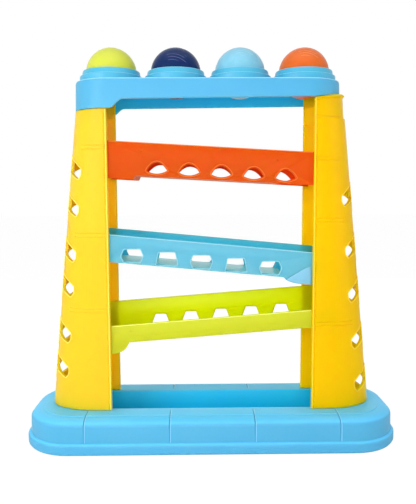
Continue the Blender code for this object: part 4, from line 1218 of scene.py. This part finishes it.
def build_chute_cheek():
    """The raised corner on the middle ramp's front wall, where its floor turns down."""
    first, last = CHEEK[0][0], CHEEK[-1][0]
    line = [(x, z) for x, z in ramp_bottom_line("middle_ramp") if first - CHEEK_MARGIN < x <= last]
    line.append((last, ramp_bottom("middle_ramp", last)))
    corners = list(CHEEK) + [(x, z + RAMP_EDGE) for x, z in line[::-1]]
    middle = [sum(values) / len(corners) for values in zip(*corners)]
    rings = [[(x + (middle[0] - x) * share, -RAMP_OUTER - CHEEK_RISE * depth, z + (middle[1] - z) * share)
              for x, z in corners] for share, depth in CHEEK_CROWN]
    # The cheek wears the paler copy, a painted highlight on the raised corner.
    finish_piece(loft("chute_cheek", rings), "teal_plastic", finishes=PAINTED_CHUTE_HIGHLIGHT)


def build_gates():
    profile = ((GATE_RADIUS, GATE_HEIGHT), (GATE_RADIUS, 0), (GATE_RADIUS / 1.5, -GATE_HEIGHT),
               (GATE_RADIUS / 4, -GATE_HEIGHT / 3))
    for slot, places in GATES.items():
        rings = [[(x, depth, z) for x, z in disc(ORIGIN, radius, ARC_STEPS)] for radius, depth in profile]
        points = [(x, -RAMP_OUTER, z) for x, z in places]
        row_of(f"{slot}_gate_marks", loft("gate_mark", rings), points, slot)


# Screws

def build_screws():
    crown = SCREW_HEAD_RADIUS - FIT_GAP * 2
    core = SCREW_RADIUS - SCREW_THREAD_DEPTH
    profile = [(crown / 3, -SCREW_HEAD_HEIGHT), (crown, -SCREW_HEAD_HEIGHT + FIT_GAP),
               (SCREW_HEAD_RADIUS, -SCREW_HEAD_HEIGHT / 2), (SCREW_HEAD_RADIUS, 0), (SCREW_RADIUS, 0)]
    pitch = (SCREW_LENGTH - SCREW_RADIUS * 2) / SCREW_THREADS
    for thread in range(SCREW_THREADS):
        low = SCREW_RADIUS + thread * pitch
        profile += [(core, low), (SCREW_RADIUS, low + pitch / 2)]
    profile += [(core, SCREW_LENGTH - SCREW_RADIUS), (SCREW_RADIUS / 3, SCREW_LENGTH)]
    screw = loft("screw_pattern", [at_height(disc(ORIGIN, radius, SCREW_STEPS), height)
                                   for radius, height in profile])
    length, width, depth = SCREW_RECESS
    for half_x, half_y in ((length, width), (width, length)):
        carve(screw, upright(oblong(-half_x, half_x, half_y), -SCREW_HEAD_HEIGHT - OVERRUN,
                             depth - SCREW_HEAD_HEIGHT))
    nodes = [f"base_screw_{number}" for number in range(1, 7)]
    places = at_height(boss_places(-1) + boss_places(1), RIM_HEIGHT - WALL - FIT_GAP)
    row_of("base_screws", screw, places, "screw_steel", *nodes)


# Studio

CAMERA_PLACE = (-0.0098, -0.557, 0.228)
CAMERA_YAW = 0.75
CAMERA_PITCH = 5.54
CAMERA_ROLL = 0.23
FOCAL_PIXELS = 590
IMAGE_HEIGHT = 504
SENSOR_HEIGHT = 36
SKY_TONE = (0.98, 0.99, 1, 1)
SKY_STRENGTH = 0.2
FLOOR_REACH = 4
FLOOR_BACK = 6
FLOOR_WHITE = 1.035
FLOOR_WHITE_SHARE = 0.94


def build_camera():
    data = bpy.data.cameras.new("camera")
    data.sensor_fit = "VERTICAL"
    data.sensor_height = SENSOR_HEIGHT
    data.lens = FOCAL_PIXELS / IMAGE_HEIGHT * SENSOR_HEIGHT
    data.clip_start = 0.01
    data.clip_end = 50
    camera = show("camera", data)
    turn = Euler((radians(90 - CAMERA_PITCH), 0, radians(-CAMERA_YAW))).to_matrix()
    turn = turn @ Matrix.Rotation(radians(-CAMERA_ROLL), 3, "Z")
    camera.matrix_world = Matrix.Translation(CAMERA_PLACE) @ turn.to_4x4()
    bpy.context.scene.camera = camera


def area_light(name, place, target, size, power, glossy=True):
    data = bpy.data.lights.new(name, "AREA")
    data.shape = "RECTANGLE"
    data.size, data.size_y = size
    data.energy = power
    light = show(name, data)
    light.location = place
    light.rotation_euler = (Vector(target) - Vector(place)).to_track_quat("-Z", "Y").to_euler()
    light.visible_camera = False
    light.visible_glossy = glossy


def seen_directly(tree):
    """A mask of camera, glossy and transmission rays, which see the white backdrop."""
    rays = add_node(tree, "ShaderNodeLightPath").outputs
    share = math(tree, "MAXIMUM", rays["Is Camera Ray"], rays["Is Glossy Ray"])
    return math(tree, "MAXIMUM", share, rays["Is Transmission Ray"])


def end_in_mix(tree, output, share, first, second):
    mix = add_node(tree, "ShaderNodeMixShader", {"Fac": share, 1: first, 2: second})
    fill(tree, tree.nodes[output], {"Surface": mix})


def build_world():
    world = bpy.data.worlds.new("studio_world")
    bpy.context.scene.world = world
    world.use_nodes = True
    tree = world.node_tree
    lighting = fill(tree, tree.nodes["Background"], {"Color": SKY_TONE, "Strength": SKY_STRENGTH})
    backdrop = add_node(tree, "ShaderNodeBackground", {"Color": WHITE, "Strength": 1})
    end_in_mix(tree, "World Output", seen_directly(tree), lighting, backdrop)


def build_floor():
    front = [(-FLOOR_REACH, -FLOOR_REACH, 0), (FLOOR_REACH, -FLOOR_REACH, 0)]
    back = [(FLOOR_REACH, FLOOR_BACK, 0), (-FLOOR_REACH, FLOOR_BACK, 0)]
    floor = new_piece("studio_floor", front + back, [(0, 1, 2, 3)])
    material, tree = new_material("pale_floor")
    shader = fill(tree, tree.nodes["Principled BSDF"], {
        "Base Color": (0.9, 0.9, 0.9, 1), "Roughness": 0.7, "Specular IOR Level": 0.2})
    white = add_node(tree, "ShaderNodeEmission", {"Color": WHITE, "Strength": FLOOR_WHITE})
    rays = add_node(tree, "ShaderNodeLightPath").outputs
    share = product(tree, rays["Is Camera Ray"], FLOOR_WHITE_SHARE)
    end_in_mix(tree, "Material Output", share, shader, white)
    floor.data.materials.append(material)


build_tray()
build_pillar(-1, "yellow_plastic")
build_pillar(1, "amber_plastic")
build_deck()
build_collars()
build_balls()
for ramp_name in RAMPS:
    build_ramp(ramp_name)
build_chute_cheek()
build_gates()
build_screws()
build_camera()
build_world()
build_floor()
area_light("key_left", (-0.55, -0.62, 0.42), (-0.1, 0, 0.25), (0.5, 0.5), 3.2)
area_light("left_side", (-0.85, -0.22, 0.22), (-0.12, 0, 0.18), (0.4, 0.7), 0.9)
area_light("front_fill", (-0.01, -0.66, 0.24), (0, 0, 0.2), (0.4, 0.4), 1.9)
area_light("right_side", (0.85, -0.3, 0.25), (0.12, 0, 0.18), (0.5, 0.6), 1.5)
area_light("overhead", (0, -0.3, 1.3), (0, 0, 0.1), (1.4, 1.0), 7)
area_light("back_glow", (0, 0.95, 0.35), (0, 0, 0.2), (1.2, 0.8), 9, glossy=False)
bpy.context.scene.view_settings.view_transform = "Standard"
